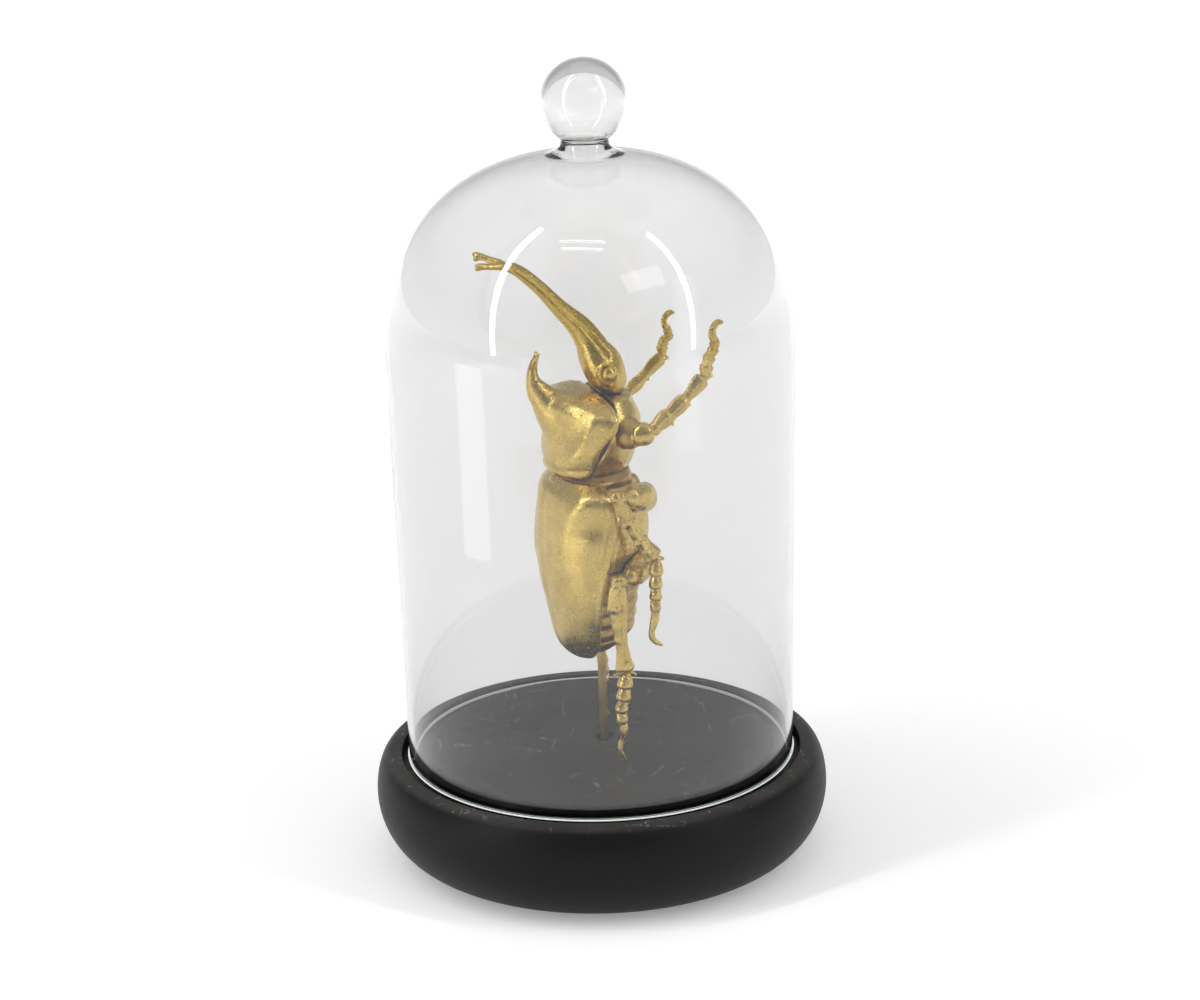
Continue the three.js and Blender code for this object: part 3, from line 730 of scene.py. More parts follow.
@dataclass
class TurnedBase:
    """The low round base, with a ring round the edge, a groove for the glass and a raised floor.

    All its sizes are in millimetres, and so are the dome's, the rod's and the beetle's.
    """

    foot: float = 31.5
    widest: float = 42.3
    widest_height: float = 12.3
    ring: float = 39.3
    ring_height: float = 19.4
    groove_outer: float = 37.4
    groove_inner: float = 32.3
    groove_floor: float = 16.9
    floor_height: float = 20.4
    hole_place: Span = (0.6, 1.2)
    hole: float = 1.85
    hole_depth: float = 2.2
    blind_depth: float = 2.6
    sides: int = 192

    def profile(self) -> list[Span]:
        """Gives the base's outline from the middle of its underside to the middle of its floor."""
        out, up = self.widest - self.foot, self.widest_height
        lower = [(self.foot + out * math.sin(a), up * (1 - math.cos(a)))
                 for a in np.linspace(0.05, math.pi / 2, 22)]
        back, rest = self.widest - self.ring, self.ring_height - up
        upper = [(self.ring + back * math.cos(a), up + rest * math.sin(a))
                 for a in np.linspace(0, math.pi / 2, 16)[1:]]
        edge = 0.25
        lip = arc((self.groove_outer + edge, self.ring_height - edge), edge, 90, 180, 5)
        corner = 0.2
        deep = self.groove_floor
        well = [(self.groove_outer, deep + corner), (self.groove_outer - corner, deep),
                (self.groove_inner + corner, deep), (self.groove_inner, deep + corner)]
        round_in = 0.4
        crown = arc((self.groove_inner - round_in, self.floor_height - round_in), round_in, 0, 90, 7)
        floor = [(radius, self.floor_height) for radius in (31.0, 28.0, 22.0, 15.0, 8.0, 5.0)]
        under = [(0, 0), (self.foot - 3, 0), (self.foot - 0.4, 0), (self.foot, 0.02)]
        return [*under, *lower, *upper, *lip, *well, *crown, *floor, (0, self.floor_height)]

    def bore(self) -> Skin:
        """Gives the rod's hole: a wide mouth with an eased edge over a narrower blind end."""
        top = self.floor_height
        ledge = top - self.hole_depth
        end = ledge - self.blind_depth
        blind, mouth = self.hole * 0.62, self.hole + 0.22
        skin = turned([(0, end), (blind, end), (blind, ledge), (self.hole, ledge + 0.1),
                       (self.hole, top - 0.15), (mouth, top + 0.03), (mouth, top + 1), (0, top + 1)], 48)
        return skin.moved(lambda points: points + np.array([*self.hole_place, 0]))

    def build(self) -> None:
        """Turns the base and bores the rod's hole."""
        piece = placed("turned_base", turned(self.profile(), self.sides), EBONY, "base", upright=True)
        cutter = in_scene("rod_hole", as_mesh("rod_hole", self.bore().moved(lambda points: points * MM)))
        drilled = piece.modifiers.new("drill", "BOOLEAN")
        drilled.operation = "DIFFERENCE"
        drilled.solver = "EXACT"
        drilled.object = cutter
        mesh = worked(piece)
        piece.modifiers.clear()
        piece.data = mesh
        bpy.data.objects.remove(cutter)
        mesh.polygons.foreach_set("use_smooth", [True] * len(mesh.polygons))
        mesh.set_sharp_from_angle(angle=math.radians(38))


@dataclass
class GlassDome:
    """The blown dome: nearly straight sides, a round shoulder, a short neck and a hollow ball knob."""

    foot: float = 36.0
    foot_height: float = 17.27
    shoulder: float = 37.08
    shoulder_height: float = 95.5
    cap_rise: float = 36.4
    cap_power: float = 2.36
    wall: float = 0.95
    neck: float = 4.3
    knob: float = 7.88
    knob_height: float = 140.8
    knob_wall: float = 0.62
    crown: float = 0.75
    bevel: float = 0.14
    bevel_height: float = 19.15
    bevel_sides: int = 10
    sides: int = 192

    def cap(self, radius: float, rise: float, stop: float, steps: int) -> list[Span]:
        """Gives the dome's round top as a swollen quarter oval, from the shoulder to a radius."""
        power = 2 / self.cap_power
        oval = [(radius * math.cos(a) ** power, self.shoulder_height + rise * math.sin(a) ** power)
                for a in np.linspace(0, math.pi / 2, steps)[1:]]
        return [(r, z) for r, z in oval if r > stop]

    def sphere(self, radius: float, centre: float, start: float, steps: int) -> list[Span]:
        """Gives the knob's outline from its opening of radius start up to its top."""
        angles = np.linspace(math.pi - math.asin(start / radius), 0.03, steps)
        return [(radius * math.sin(a), centre + radius * math.cos(a)) for a in angles]

    def build(self) -> None:
        """Blows the dome and its knob as one skin, outside and inside."""
        top = self.shoulder_height + self.cap_rise
        inner = self.shoulder - self.wall
        neck_in = self.neck - 0.5
        start = self.foot_height + 0.5
        sides = [(self.foot + (self.shoulder - self.foot) * u, start + (self.shoulder_height - start) * u)
                 for u in np.linspace(0, 1, 20)]
        sides_in = [(r - self.wall, z) for r, z in sides]
        edge = self.wall / 2
        lip = arc((self.foot - edge, self.foot_height + edge), edge, 180, 360, 12)
        waist = [(self.neck + out, top + up)
                 for out, up in ((1.5, 0.16), (0.7, 0.5), (0.25, 0.95), (0.05, 1.5))]
        outside = [*sides, *self.cap(self.shoulder, self.cap_rise, self.neck + 1.8, 64), *waist,
                   *self.sphere(self.knob, self.knob_height, self.neck, 60)]
        ball_in = self.knob - self.knob_wall
        inside = [*sides_in, *self.cap(inner, self.cap_rise - self.wall, neck_in + 0.9, 60),
                  (neck_in + 0.35, top - self.wall + 0.5), (neck_in + 0.1, top - self.wall + 1.2),
                  *self.sphere(ball_in - 0.1, self.knob_height - self.crown / 2 + 0.1, neck_in, 54)]
        profile = [(0, inside[-1][1]), *reversed(inside), *lip[1:-1], *outside,
                   (0, self.knob_height + self.knob)]
        placed("blown_dome", turned(profile, self.sides), GLASS, "glass_dome", upright=True)
        self.build_foot_line()

    def build_foot_line(self) -> None:
        """Grinds the pale bevels that run round the foot, outside and inside, level with the ring."""
        for name, middle, bevel in (("outer", self.foot + 0.12, self.bevel),
                                    ("inner", self.foot - self.wall - 0.08, self.bevel * 0.4)):
            turn = full_turn(self.sides).T
            across = full_turn(self.bevel_sides)
            radius = middle + bevel * np.cos(across)
            grid = np.stack([radius * np.cos(turn), radius * np.sin(turn),
                             self.bevel_height + bevel * np.sin(across) + 0 * turn], axis=-1)
            number = np.arange(self.sides * self.bevel_sides).reshape(self.sides, self.bevel_sides)
            ahead = np.roll(number, -1, axis=0)
            corners = (number, ahead, np.roll(ahead, -1, axis=1), np.roll(number, -1, axis=1))
            faces = [tuple(face) for face in np.stack(corners, axis=-1).reshape(-1, 4).tolist()]
            placed(f"ground_foot_{name}", Skin(grid.reshape(-1, 3), faces), GROUND, "glass_dome",
                   upright=True)


@dataclass
class MountRod:
    """The thin rod that holds the beetle up, standing in its hole."""

    place: Span = (0.6, 1.2)
    radius: float = 0.8
    bottom: float = 12.9
    top: float = 46.0

    def build(self) -> None:
        """Draws the rod with its ends chamfered."""
        edge = 0.12
        heights = np.linspace(self.bottom + edge, self.top - edge, 40)
        skin = turned([(0, self.bottom), (self.radius - edge, self.bottom),
                       *[(self.radius, z) for z in heights],
                       (self.radius - edge, self.top), (0, self.top)], 32)
        skin = skin.moved(lambda points: points + np.array([*self.place, 0]))
        placed("rod", skin, BRASS, "mount_rod", upright=True)


# ---- The beetle's body --------------------------------------------------------------------------


@dataclass
class WingCases:
    """The two hard wing cases: thin domed shells that meet along the back."""

    rows: Sequence[Row] = (
        (37.9, 2.0, -2.9, 1.1, 0.5),
        (38.7, 5.2, -3.0, 2.7, 0.5),
        (40.2, 7.6, -3.1, 4.0, 0.4),
        (42.6, 9.6, -3.2, 4.8, 0.4),
        (47.0, 11.4, -3.3, 5.5, 0.4),
        (52.8, 12.8, -3.1, 6.8, 0.4),
        (60.0, 13.5, -1.8, 8.6, 0.4),
        (66.0, 13.4, -0.4, 9.7, 0.4),
        (70.6, 12.6, -0.9, 8.6, 0.4),
        (73.0, 9.6, -1.8, 5.6, 0.4),
    )
    suture: float = 0.17
    wall: float = 0.75
    rings: int = 150

    def marks(self, side: int) -> list[Mark]:
        """Gives one wing case's marks: seam line, rim, raised arch, a hollow and two swellings."""
        heights = np.linspace(40.5, 71.5, 26)
        half, margin, rise, _ = rows_at(self.rows, heights).T
        seam = [(m - r * 0.998, side * 0.95, h) for m, r, h in zip(margin, rise, heights)]
        rim = [(m - r * 0.16, side * w * 0.985, h) for w, m, r, h in zip(half, margin, rise, heights)]
        arch = [(-3.4, side * 12.0, 70.4), (-5.6, side * 10.8, 69.8), (-7.2, side * 9.3, 67.6),
                (-8.6, side * 7.6, 64.0), (-9.0, side * 6.6, 58.0)]
        return [
            Score(seam, 0.24, 0.14),
            Score(rim, 0.3, 0.2),
            Score(arch, 2.1, -0.4),
            Dent((-4.4, side * 11.9, 66.8), (2.2, 2.4, 3.6), 0.14),
            Dent((-4.4, side * 12.2, 63.3), (1.5, 1.5, 1.4), -0.2),
            Dent((-4.6, side * 9.2, 42.6), (2.4, 2.2, 2.0), -0.28),
            Ripple(12.0, 0.07, seed=5 + side),
        ]

    def shell(self, side: int) -> Skin:
        """Makes one wing case as a loop of outer face, tucked edge, inner face and seam face."""
        height = self.rows[0][0] + (self.rows[-1][0] - self.rows[0][0]) * eased(self.rings)
        half, margin, rise, _ = columns_at(self.rows, height)
        wall = self.wall * np.clip(np.minimum(height - 36.9, 73.4 - height) / 1.5, 0.15, 1)[:, None]
        out = np.radians(np.linspace(0, 90, 70))[None, :]
        back = np.radians(np.linspace(90, 0, 40))[None, :]
        outer = (margin - rise * np.cos(out), self.suture + (half - self.suture) * np.sin(out))
        tuck = np.radians(np.linspace(15, 165, 8))[None, :]
        edge = (margin + 0.45 * np.sin(tuck), half - wall * (1 - np.cos(tuck)) / 2)
        inner = (margin - np.maximum(rise - wall, 0.05) * np.cos(back),
                 self.suture + np.maximum(half - wall - self.suture, 0.05) * np.sin(back))
        depth = np.hstack([outer[0], edge[0], inner[0]])
        across = np.hstack([outer[1], edge[1], inner[1]])
        level = np.broadcast_to(height[:, None], depth.shape)
        return carved(closed_skin(np.stack([depth, across * side, level], axis=-1)), self.marks(side))

    def build(self) -> None:
        """Makes both wing cases."""
        for hand in Hand:
            placed(f"wing_case_{hand.word}", self.shell(hand.value), GOLD, f"elytron_{hand.word}")


@dataclass
class Trunk:
    """The body under the wing cases: back plate, middle and hind body rings, and ringed abdomen."""

    abdomen: Sequence[Row] = (
        (38.4, 2.6, -0.9, 0.6, 2.0),
        (40.2, 5.6, -2.6, 0.9, 6.2),
        (43.0, 7.8, -3.0, 2.2, 9.4),
        (47.0, 9.6, -3.2, 3.7, 10.2),
        (52.0, 10.9, -3.0, 4.9, 10.4),
        (56.6, 11.4, -2.4, 5.9, 10.3),
    )
    hind: Sequence[Row] = (
        (57.0, 11.6, -2.2, 6.2, 10.6),
        (60.0, 12.0, -1.7, 6.9, 11.1),
        (64.5, 12.0, -0.8, 8.0, 10.4),
        (69.0, 10.8, -0.9, 7.0, 9.6),
        (71.2, 7.6, -1.2, 4.2, 8.4),
    )
    middle: Sequence[Row] = (
        (71.4, 7.2, -1.4, 4.6, 8.2),
        (72.4, 7.4, -1.6, 5.0, 8.5),
        (73.5, 6.4, -1.8, 4.0, 8.4),
    )
    ring_edges: Sequence[float] = (38.9, 42.0, 44.9, 47.7, 50.1, 52.6, 55.0, 57.5)

    def rings_of_belly(self, height: np.ndarray, angle: np.ndarray) -> np.ndarray:
        """Gives the abdomen's rings: each swells, then steps in under the next above it."""
        edges = np.asarray(self.ring_edges)
        row = np.clip(np.searchsorted(edges, height) - 1, 0, len(edges) - 2)
        u = np.clip((height - edges[row]) / (edges[row + 1] - edges[row]), 0, 1)
        swell = 0.95 * np.sin(np.pi * u**0.75) ** 0.6 - 0.65
        return np.where(np.cos(angle) < 0.2, swell, -0.3)

    def build(self) -> None:
        """Makes the trunk's pieces."""
        placed("abdomen_rings", carved(segment(self.abdomen, 120, 150, self.rings_of_belly), [
            Ripple(5.0, 0.12, 11)]), GOLD_DEEP, "abdomen")
        strip = [(0.9, 11.3, 67.4), (0.2, 11.6, 64.0), (-0.5, 11.7, 60.0), (-0.9, 11.5, 57.6)]
        inner = [(d + 1.4, w - 0.1, h) for d, w, h in strip]
        keel = [(9.6, 0.0, 58.5), (9.7, 0.0, 62.0), (9.4, 0.0, 66.0), (8.7, 0.0, 69.5)]
        placed("hind_ring", carved(segment(self.hind, 140, 90), [
            Score(strip, 0.28, 0.3), Score(mirrored(strip), 0.28, 0.3), Score(inner, 0.22, 0.22),
            Score(mirrored(inner), 0.22, 0.22), Score(keel, 0.35, 0.35), Ripple(7.0, 0.14, 12)]),
            GOLD, "metathorax")
        placed("middle_ring", carved(segment(self.middle, 120, 30), [Ripple(3.0, 0.12, 13)]),
               GOLD_DEEP, "mesothorax")
        plate = fused([
            ball((-7.6, 0.0, 71.9), (0.75, 2.1, 1.0)), ball((-8.1, 0.0, 70.9), (0.6, 1.4, 1.1)),
            ball((-8.35, 0.0, 70.0), (0.45, 0.7, 0.6))], 0.12, 6)
        placed("back_plate", plate, GOLD, "scutellum")


@dataclass
class FrontShield:
    """The front shield with its short forked horn, and the plate under it."""

    rows: Sequence[Row] = (
        (73.7, 7.4, -3.6, 4.3, 0.0),
        (75.2, 9.4, -3.1, 5.8, 0.2),
        (77.4, 10.8, -2.7, 6.3, 0.3),
        (80.4, 12.2, -1.4, 7.3, 0.3),
        (83.6, 13.0, 0.8, 9.3, 0.3),
        (85.8, 12.5, 1.1, 10.3, 0.3),
        (87.3, 10.6, 0.8, 10.3, 0.3),
        (88.4, 7.9, 0.1, 8.9, 0.2),
        (89.0, 4.4, -0.9, 6.6, 0.2),
    )
    under: Sequence[Row] = (
        (74.2, 6.6, -2.3, 0.0, 9.0),
        (76.4, 8.0, -1.7, 0.0, 9.3),
        (80.0, 9.6, -0.3, 0.0, 8.4),
        (84.0, 10.4, 1.2, 0.0, 7.2),
        (87.6, 8.0, 1.6, 0.0, 5.2),
    )

    def horn(self) -> list[Skin]:
        """Makes the short horn, forked at its tip."""
        shaft = limb([(-7.6, 0, 85.8), (-10.1, 0, 89.0), (-11.1, 0, 92.2), (-10.5, 0, 95.3)],
                     [(0, 2.6, 2.6), (0.33, 2.2, 2.2), (0.62, 1.35, 1.3), (1, 0.8, 0.6)],
                     SIDEWAYS, 36, 60, 0.05)
        tips = [limb([(-10.5, s * 0.2, 94.6), (-10.2, s * 0.6, 95.6), (-9.9, s * 1.0, 96.4)],
                     [(0, 0.6, 0.5), (1, 0.36, 0.32)], SIDEWAYS, 16, 14, 0.2) for s in (1, -1)]
        return [shaft, *tips]

    def root(self) -> Skin:
        """Makes the swelling that the short horn grows out of."""
        return limb([(-4.6, 0, 82.4), (-7.4, 0, 85.6), (-9.9, 0, 89.0), (-10.9, 0, 91.0)],
                    [(0, 6.6, 5.0), (0.35, 5.0, 3.8), (0.7, 2.9, 2.5), (1, 1.7, 1.5)],
                    SIDEWAYS, 36, 40, 0.05)

    def marks(self) -> list[Mark]:
        """Gives the shield's marks: its rim, a crest and a hollow on each flank, and a collar."""
        heights = np.linspace(75.0, 88.8, 20)
        half, margin, rise, _ = rows_at(self.rows, heights).T
        marks: list[Mark] = [Ripple(8.0, 0.12, 21)]
        for side in (1, -1):
            rim = [(m - r * 0.05, side * w * 0.99, h)
                   for w, m, r, h in zip(half, margin, rise, heights)]
            crest = [(-3.0, side * 11.6, 85.4), (-3.9, side * 11.2, 83.6), (-5.3, side * 10.2, 80.2),
                     (-7.0, side * 7.4, 76.8)]
            marks += [
                Score(rim, 0.34, 0.3),
                Score(crest, 1.5, -0.42),
                Dent((-2.0, side * 11.6, 81.0), (1.8, 2.4, 3.4), 0.5),
            ]
        around = np.linspace(-1.35, 1.35, 16)
        for level, width, depth in ((75.8, 0.34, 0.34), (74.7, 0.6, -0.34)):
            half, margin, rise, _ = rows_at(self.rows, np.array([level]))[0]
            marks.append(Score([(margin - rise * math.cos(a), half * math.sin(a), level)
                                for a in around], width, depth))
        return marks

    def build(self) -> None:
        """Makes the shield with its horn, and the plate under it."""
        shield = fused([segment(self.rows, 110, 80), self.root()], 0.32, 3, 26)
        shield = fused([shield, *self.horn()], 0.27, 6, 1)
        placed("front_shield", carved(shield, self.marks()), GOLD, "pronotum")
        seam = [(1.2, 8.4, 76.5), (4.2, 6.8, 76.4), (6.8, 3.6, 76.2)]
        plate = carved(segment(self.under, 100, 70), [
            Score([(8.4, 0, 75.0), (8.2, 0, 80.0), (7.6, 0, 84.5)], 0.5, -0.35),
            Score(seam, 0.3, 0.35), Score(mirrored(seam), 0.3, 0.35), Ripple(4.5, 0.2, 22)])
        placed("front_underplate", plate, GOLD, "prosternum")


@dataclass
class Head:
    """The head with its long horn, which forks at the end into two lobed prongs, and the eyes."""

    rows: Sequence[Row] = (
        (87.9, 2.8, 4.0, 2.4, 1.6),
        (89.4, 4.2, 3.5, 3.7, 2.9),
        (92.4, 4.7, 2.6, 4.3, 3.5),
        (95.4, 3.7, 1.5, 3.9, 3.4),
        (98.4, 2.2, 0.0, 2.5, 1.8),
    )
    eye_place: Place = (2.8, 4.35, 92.3)
    eye_halves: Place = (1.3, 1.0, 1.3)
    brow: float = 1.75

    def horn(self) -> list[Skin]:
        """Makes the long horn and its prongs in the head's own axes."""
        shaft = limb(
            [(0.9, 0, 95.5), (-1.6, 0, 99.8), (-5.2, 0, 103.6), (-9.6, 0, 108.4), (-13.4, 0, 111.4),
             (-16.6, 0, 112.2)],
            [(0, 3.0, 3.0), (0.18, 2.1, 2.3), (0.45, 1.5, 1.5), (0.8, 1.25, 1.15), (1, 1.2, 0.8)],
            SIDEWAYS, 28, 90, 0.04)
        prongs: list[Skin] = []
        for side in (1, -1):
            prongs.append(limb(
                [(-15.2, side * 0.6, 112.1), (-18.2, side * 2.2, 112.75 - side * 0.3),
                 (-20.4, side * 3.3, 113.3 - side * 0.45)],
                [(0, 0.85, 0.85), (0.5, 0.6, 0.72), (0.8, 0.6, 0.72), (1, 0.42, 0.5)], UPWARDS, 20, 24, 0.1))
            prongs.append(limb(
                [(-18.8, side * 2.5, 112.8 - side * 0.35), (-19.8, side * 2.4, 112.5 - side * 0.4),
                 (-20.4, side * 2.3, 112.4 - side * 0.4)],
                [(0, 0.42, 0.46), (1, 0.34, 0.36)], UPWARDS, 14, 12, 0.25))
        return [shaft, *prongs]

    def build(self) -> None:
        """Makes the head with its horn, then the eyes in their sockets."""
        depth, side, height = self.eye_place
        marks: list[Mark] = []
        for hand in (1, -1):
            brow = [(depth + self.brow * math.cos(a), hand * (side + 0.1), height + self.brow * math.sin(a))
                    for a in np.linspace(0, 2 * np.pi, 24)]
            spine = [(3.4, hand * 3.0, 95.6), (2.2, hand * 2.4, 97.3), (-0.6, hand * 1.7, 100.7),
                     (-4.5, hand * 1.25, 104.3), (-9.0, hand * 1.1, 109.0), (-12.9, hand * 1.0, 112.0)]
            furrow = [(d - 0.62, w * 1.22, h - 0.6) for d, w, h in spine]
            lip = [(6.0, hand * 0.2, 89.6), (5.6, hand * 2.4, 90.0), (4.4, hand * 3.9, 90.3)]
            marks += [
                Score(brow, 0.42, -0.42),
                Dent((depth, hand * side, height), (1.25, 1.5, 1.25), 1.0),
                Score(spine, 0.34, -0.24),
                Score(furrow, 0.3, 0.32),
                Score(lip, 0.26, 0.3),
            ]
        head = fused([segment(self.rows, 90, 70), *self.horn()], 0.17, 5)
        head = carved(head, [*marks, Ripple(7.0, 0.06, 31)]).moved(head_axes)
        placed("head_and_horn", head, GOLD, "head_with_horn")
        for hand in Hand:
            eye = ball((depth, hand.value * side, height), self.eye_halves, 40, 26)
            eye = carved(eye, [Ripple(1.2, 0.05, 32)]).moved(head_axes)
            placed(f"eye_ball_{hand.word}", eye, GOLD, f"eye_{hand.word}")


# ---- The legs -----------------------------------------------------------------------------------


LAST_SPUR = 0.9  # spurs past this share of the shin stand at its end
KNEE: Place = (1.3, 1.2, 1.25)
SHIN_TOP: Place = (1.15, 1.1, 1.15)
HIP_LINK: Sequence[Row] = ((0, 1.5, 1.5), (0.5, 1.7, 1.5), (1, 1.2, 1.1))
SPUR: Sequence[Row] = ((0, 0.7, 0.65), (0.5, 0.52, 0.48), (1, 0.24, 0.24))
BARB: Sequence[Row] = ((0, 0.4, 0.4), (1, 0.18, 0.18))
CLAW: Sequence[Row] = ((0, 0.6, 0.6), (0.6, 0.45, 0.45), (1, 0.26, 0.26))
ANKLE: Sequence[Row] = ((0, 0.9, 0.8), (0.3, 0.9, 0.8), (1, 0.5, 0.5))
FOOT_JOINTS = (0.0, 0.2, 0.385, 0.555, 0.715, 1.0)  # shares of the foot where its joints start and end


@dataclass
class Leg:
    """One leg: hip, thigh, spurred shin, and a foot of five joints with two claws.

    Places are in the beetle's axes and sizes are half sizes. Each spur is (share along the shin, the
    depth and height of the way it points, length).
    """

    name: str
    hip: Place
    hip_halves: Place
    thigh: Sequence[Place]
    thigh_rows: Sequence[Row]
    shin: Sequence[Place]
    shin_rows: Sequence[Row]
    spurs: Sequence[Row]
    foot: Sequence[Place]
    foot_half: float
    claw: Sequence[Place]
    seed: int
    groove: float = 0.22

    @property
    def side(self) -> int:
        """The leg's side: 1 for the right, -1 for the left."""
        return 1 if self.hip[1] > 0 else -1

    def make_hip(self) -> Skin:
        """Makes the hip, scored where the thigh turns in it."""
        d, w, h = self.hip
        a, b, c = self.hip_halves
        side = self.side
        groove = [(d + a * 0.9, w - side * b * 0.5, h + c * 0.4), (d + a * 0.8, w, h - c * 0.1),
                  (d + a * 0.3, w + side * b * 0.6, h - c * 0.6)]
        return carved(ball(self.hip, self.hip_halves, 64, 44), [
            Score(groove, 0.35, 0.25), Ripple(2.2, 0.2, self.seed)])

    def make_thigh(self) -> Skin:
        """Makes the thigh, with the slot along its edge that the shin folds into."""
        knee = tuple((np.asarray(self.thigh[-1]) + np.asarray(self.shin[0])) / 2)
        link = limb([self.hip, self.thigh[0], self.thigh[1]], HIP_LINK, UPWARDS, 24, 24, 0.1)
        body = fused([limb(self.thigh, self.thigh_rows, UPWARDS, 48, 60, 0.25), ball(knee, KNEE), link],
                     0.16, 4)
        low = [(d, w, h - rows[1] * 0.9) for (d, w, h), rows in zip(self.thigh, self.thigh_rows)]
        return carved(body, [Score(low, 0.4, 0.3), Ripple(2.6, 0.14, self.seed + 1)])

    def make_shin(self) -> Skin:
        """Makes the shin: flattened, ridged and grooved along its length, with its spurs grown on."""
        def ridged(share: np.ndarray, angle: np.ndarray) -> np.ndarray:
            """Gives the shin four soft ridges that fade at its knee, and a collar at each upper spur."""
            collars = sum(0.13 * np.exp(-((share - spur[0]) / 0.035) ** 2)
                          for spur in self.spurs if spur[0] < LAST_SPUR)
            return 1 + 0.09 * np.cos(4 * angle) * np.minimum(1, share * 4) + collars

        parts = [limb(self.shin, self.shin_rows, DEPTHWAYS, 32, 90, 0.05, ridged),
                 ball(self.shin[0], SHIN_TOP)]
        for share, depth, height, length in self.spurs:
            root = smooth_path(self.shin, np.array([share]))[0][0]
            reach = np.array([depth, 0, height]) / math.hypot(depth, height) * length
            parts.append(limb([root, root + reach * 0.5, root + reach], SPUR, SIDEWAYS, 14, 16, 0.1))
        share = np.linspace(0.1, 0.86, 12)
        line, _ = smooth_path(self.shin, share)
        flank = self.side * rows_at(self.shin_rows, share)[:, 1]
        groove = [(d + 0.15, w + f, h) for (d, w, h), f in zip(line, flank)]
        ridge = [(d + 0.85, w + f * 0.9, h + 0.2) for (d, w, h), f in zip(line, flank)]
        return carved(fused(parts, 0.14, 3), [
            Score(groove, 0.36, self.groove), Score(ridge, 0.4, -0.5 * self.groove),
            Ripple(2.6, 0.1, self.seed + 2)])

    def make_foot(self) -> Skin:
        """Makes the foot: four bell-shaped joints with two barbs each, a long last one, and two claws."""
        parts: list[Skin] = []
        for joint, (start, stop) in enumerate(zip(FOOT_JOINTS[:-1], FOOT_JOINTS[1:])):
            size = self.foot_half * (1.08 - 0.09 * joint)
            share = np.linspace(max(start - 0.012, 0), stop, 6)
            line, way = smooth_path(self.foot, share)
            last = stop == FOOT_JOINTS[-1]
            flare = 0.72 if last else 1.0
            bell = [(0, size * 0.66, size * 0.6), (0.35, size * 0.86, size * 0.78),
                    (0.78, size * flare, size * 0.9 * flare), (1, size * 0.8 * flare, size * 0.7 * flare)]
            parts.append(limb(line, bell, DEPTHWAYS, 22, 26, 0.1))
            if not last:
                for turn in (1, -1):
                    root = line[-2]
                    out = np.array([turn * 0.95, 0, 0]) + way[-1] * 0.9
                    tip = root + out / np.linalg.norm(out) * size * 1.12
                    parts.append(limb([root, (root + tip) / 2, tip], BARB, SIDEWAYS, 10, 10, 0.1))
        for side in (1, -1):
            places = [(d, w + side * 0.35 * i, h) for i, (d, w, h) in enumerate(self.claw)]
            parts.append(limb(places, CLAW, DEPTHWAYS, 14, 20, 0.1))
        parts.append(limb([self.shin[-1], self.foot[0], self.foot[1]], ANKLE, DEPTHWAYS, 20, 20, 0.08))
        return carved(fused(parts, 0.125, 3), [Ripple(2.0, 0.08, self.seed + 3)])

    def build(self) -> None:
        """Makes the leg's four pieces."""
        for word, skin, finish, node in (
            ("hip", self.make_hip(), GOLD_DEEP, "coxa"),
            ("thigh", self.make_thigh(), GOLD, "femur"),
            ("shin", self.make_shin(), GOLD, "tibia"),
            ("foot", self.make_foot(), GOLD, "tarsus"),
        ):
            placed(f"{self.name}_{word}", skin, finish, f"{self.name}_{node}")


def front_legs() -> list[Leg]:
    """Gives the front legs, which reach up and forward."""
    return [
        Leg("front_right", (3.6, 9.2, 82.2), (2.8, 3.6, 3.0),
            [(3.9, 11.4, 82.3), (5.6, 12.4, 82.6), (7.4, 12.7, 83.0)],
            [(0, 2.0, 1.9), (0.5, 2.2, 1.9), (1, 1.6, 1.5)],
            [(7.6, 12.7, 83.6), (11.0, 12.4, 86.0), (14.2, 12.2, 88.6), (17.2, 12.1, 91.7)],
            [(0, 1.1, 1.0), (0.16, 1.5, 1.1), (0.3, 1.25, 1.0), (0.48, 1.5, 1.1), (0.64, 0.98, 0.9),
             (0.85, 1.4, 1.0), (1, 1.5, 0.9)],
            [(0.24, 0.5, -0.8, 2.1), (0.56, 0.8, -0.6, 1.7), (0.97, 0.95, 0.2, 2.2)],
            [(17.5, 12.1, 92.2), (18.3, 12.2, 95.2), (19.3, 12.3, 97.4), (18.9, 12.3, 99.6),
             (19.1, 12.3, 100.9)],
            1.22, [(19.1, 12.3, 100.6), (19.8, 12.3, 101.5), (20.8, 12.3, 101.7)], 41),
        Leg("front_left", (3.4, -8.4, 82.4), (2.6, 3.2, 3.0),
            [(4.6, -11.6, 82.6), (7.6, -12.4, 82.2), (10.2, -12.2, 82.4)],
            [(0, 1.6, 1.5), (0.5, 2.1, 1.6), (1, 1.2, 1.1)],
            [(10.7, -12.1, 83.1), (13.6, -12.0, 85.7), (16.2, -12.0, 88.2), (18.0, -12.0, 89.7)],
            [(0, 0.9, 0.85), (0.3, 1.3, 0.9), (0.5, 0.95, 0.8), (0.75, 1.25, 0.85), (1, 1.3, 0.8)],
            [(0.5, 0.7, -0.7, 1.4), (0.97, 1.0, -0.1, 1.6)],
            [(18.0, -12.0, 90.3), (18.2, -12.0, 92.2), (19.4, -12.0, 93.8), (18.7, -12.0, 95.6),
             (18.4, -12.0, 97.1)],
            1.08, [(18.5, -12.0, 97.0), (19.4, -12.0, 97.9), (20.4, -12.0, 98.2)], 47),
    ]


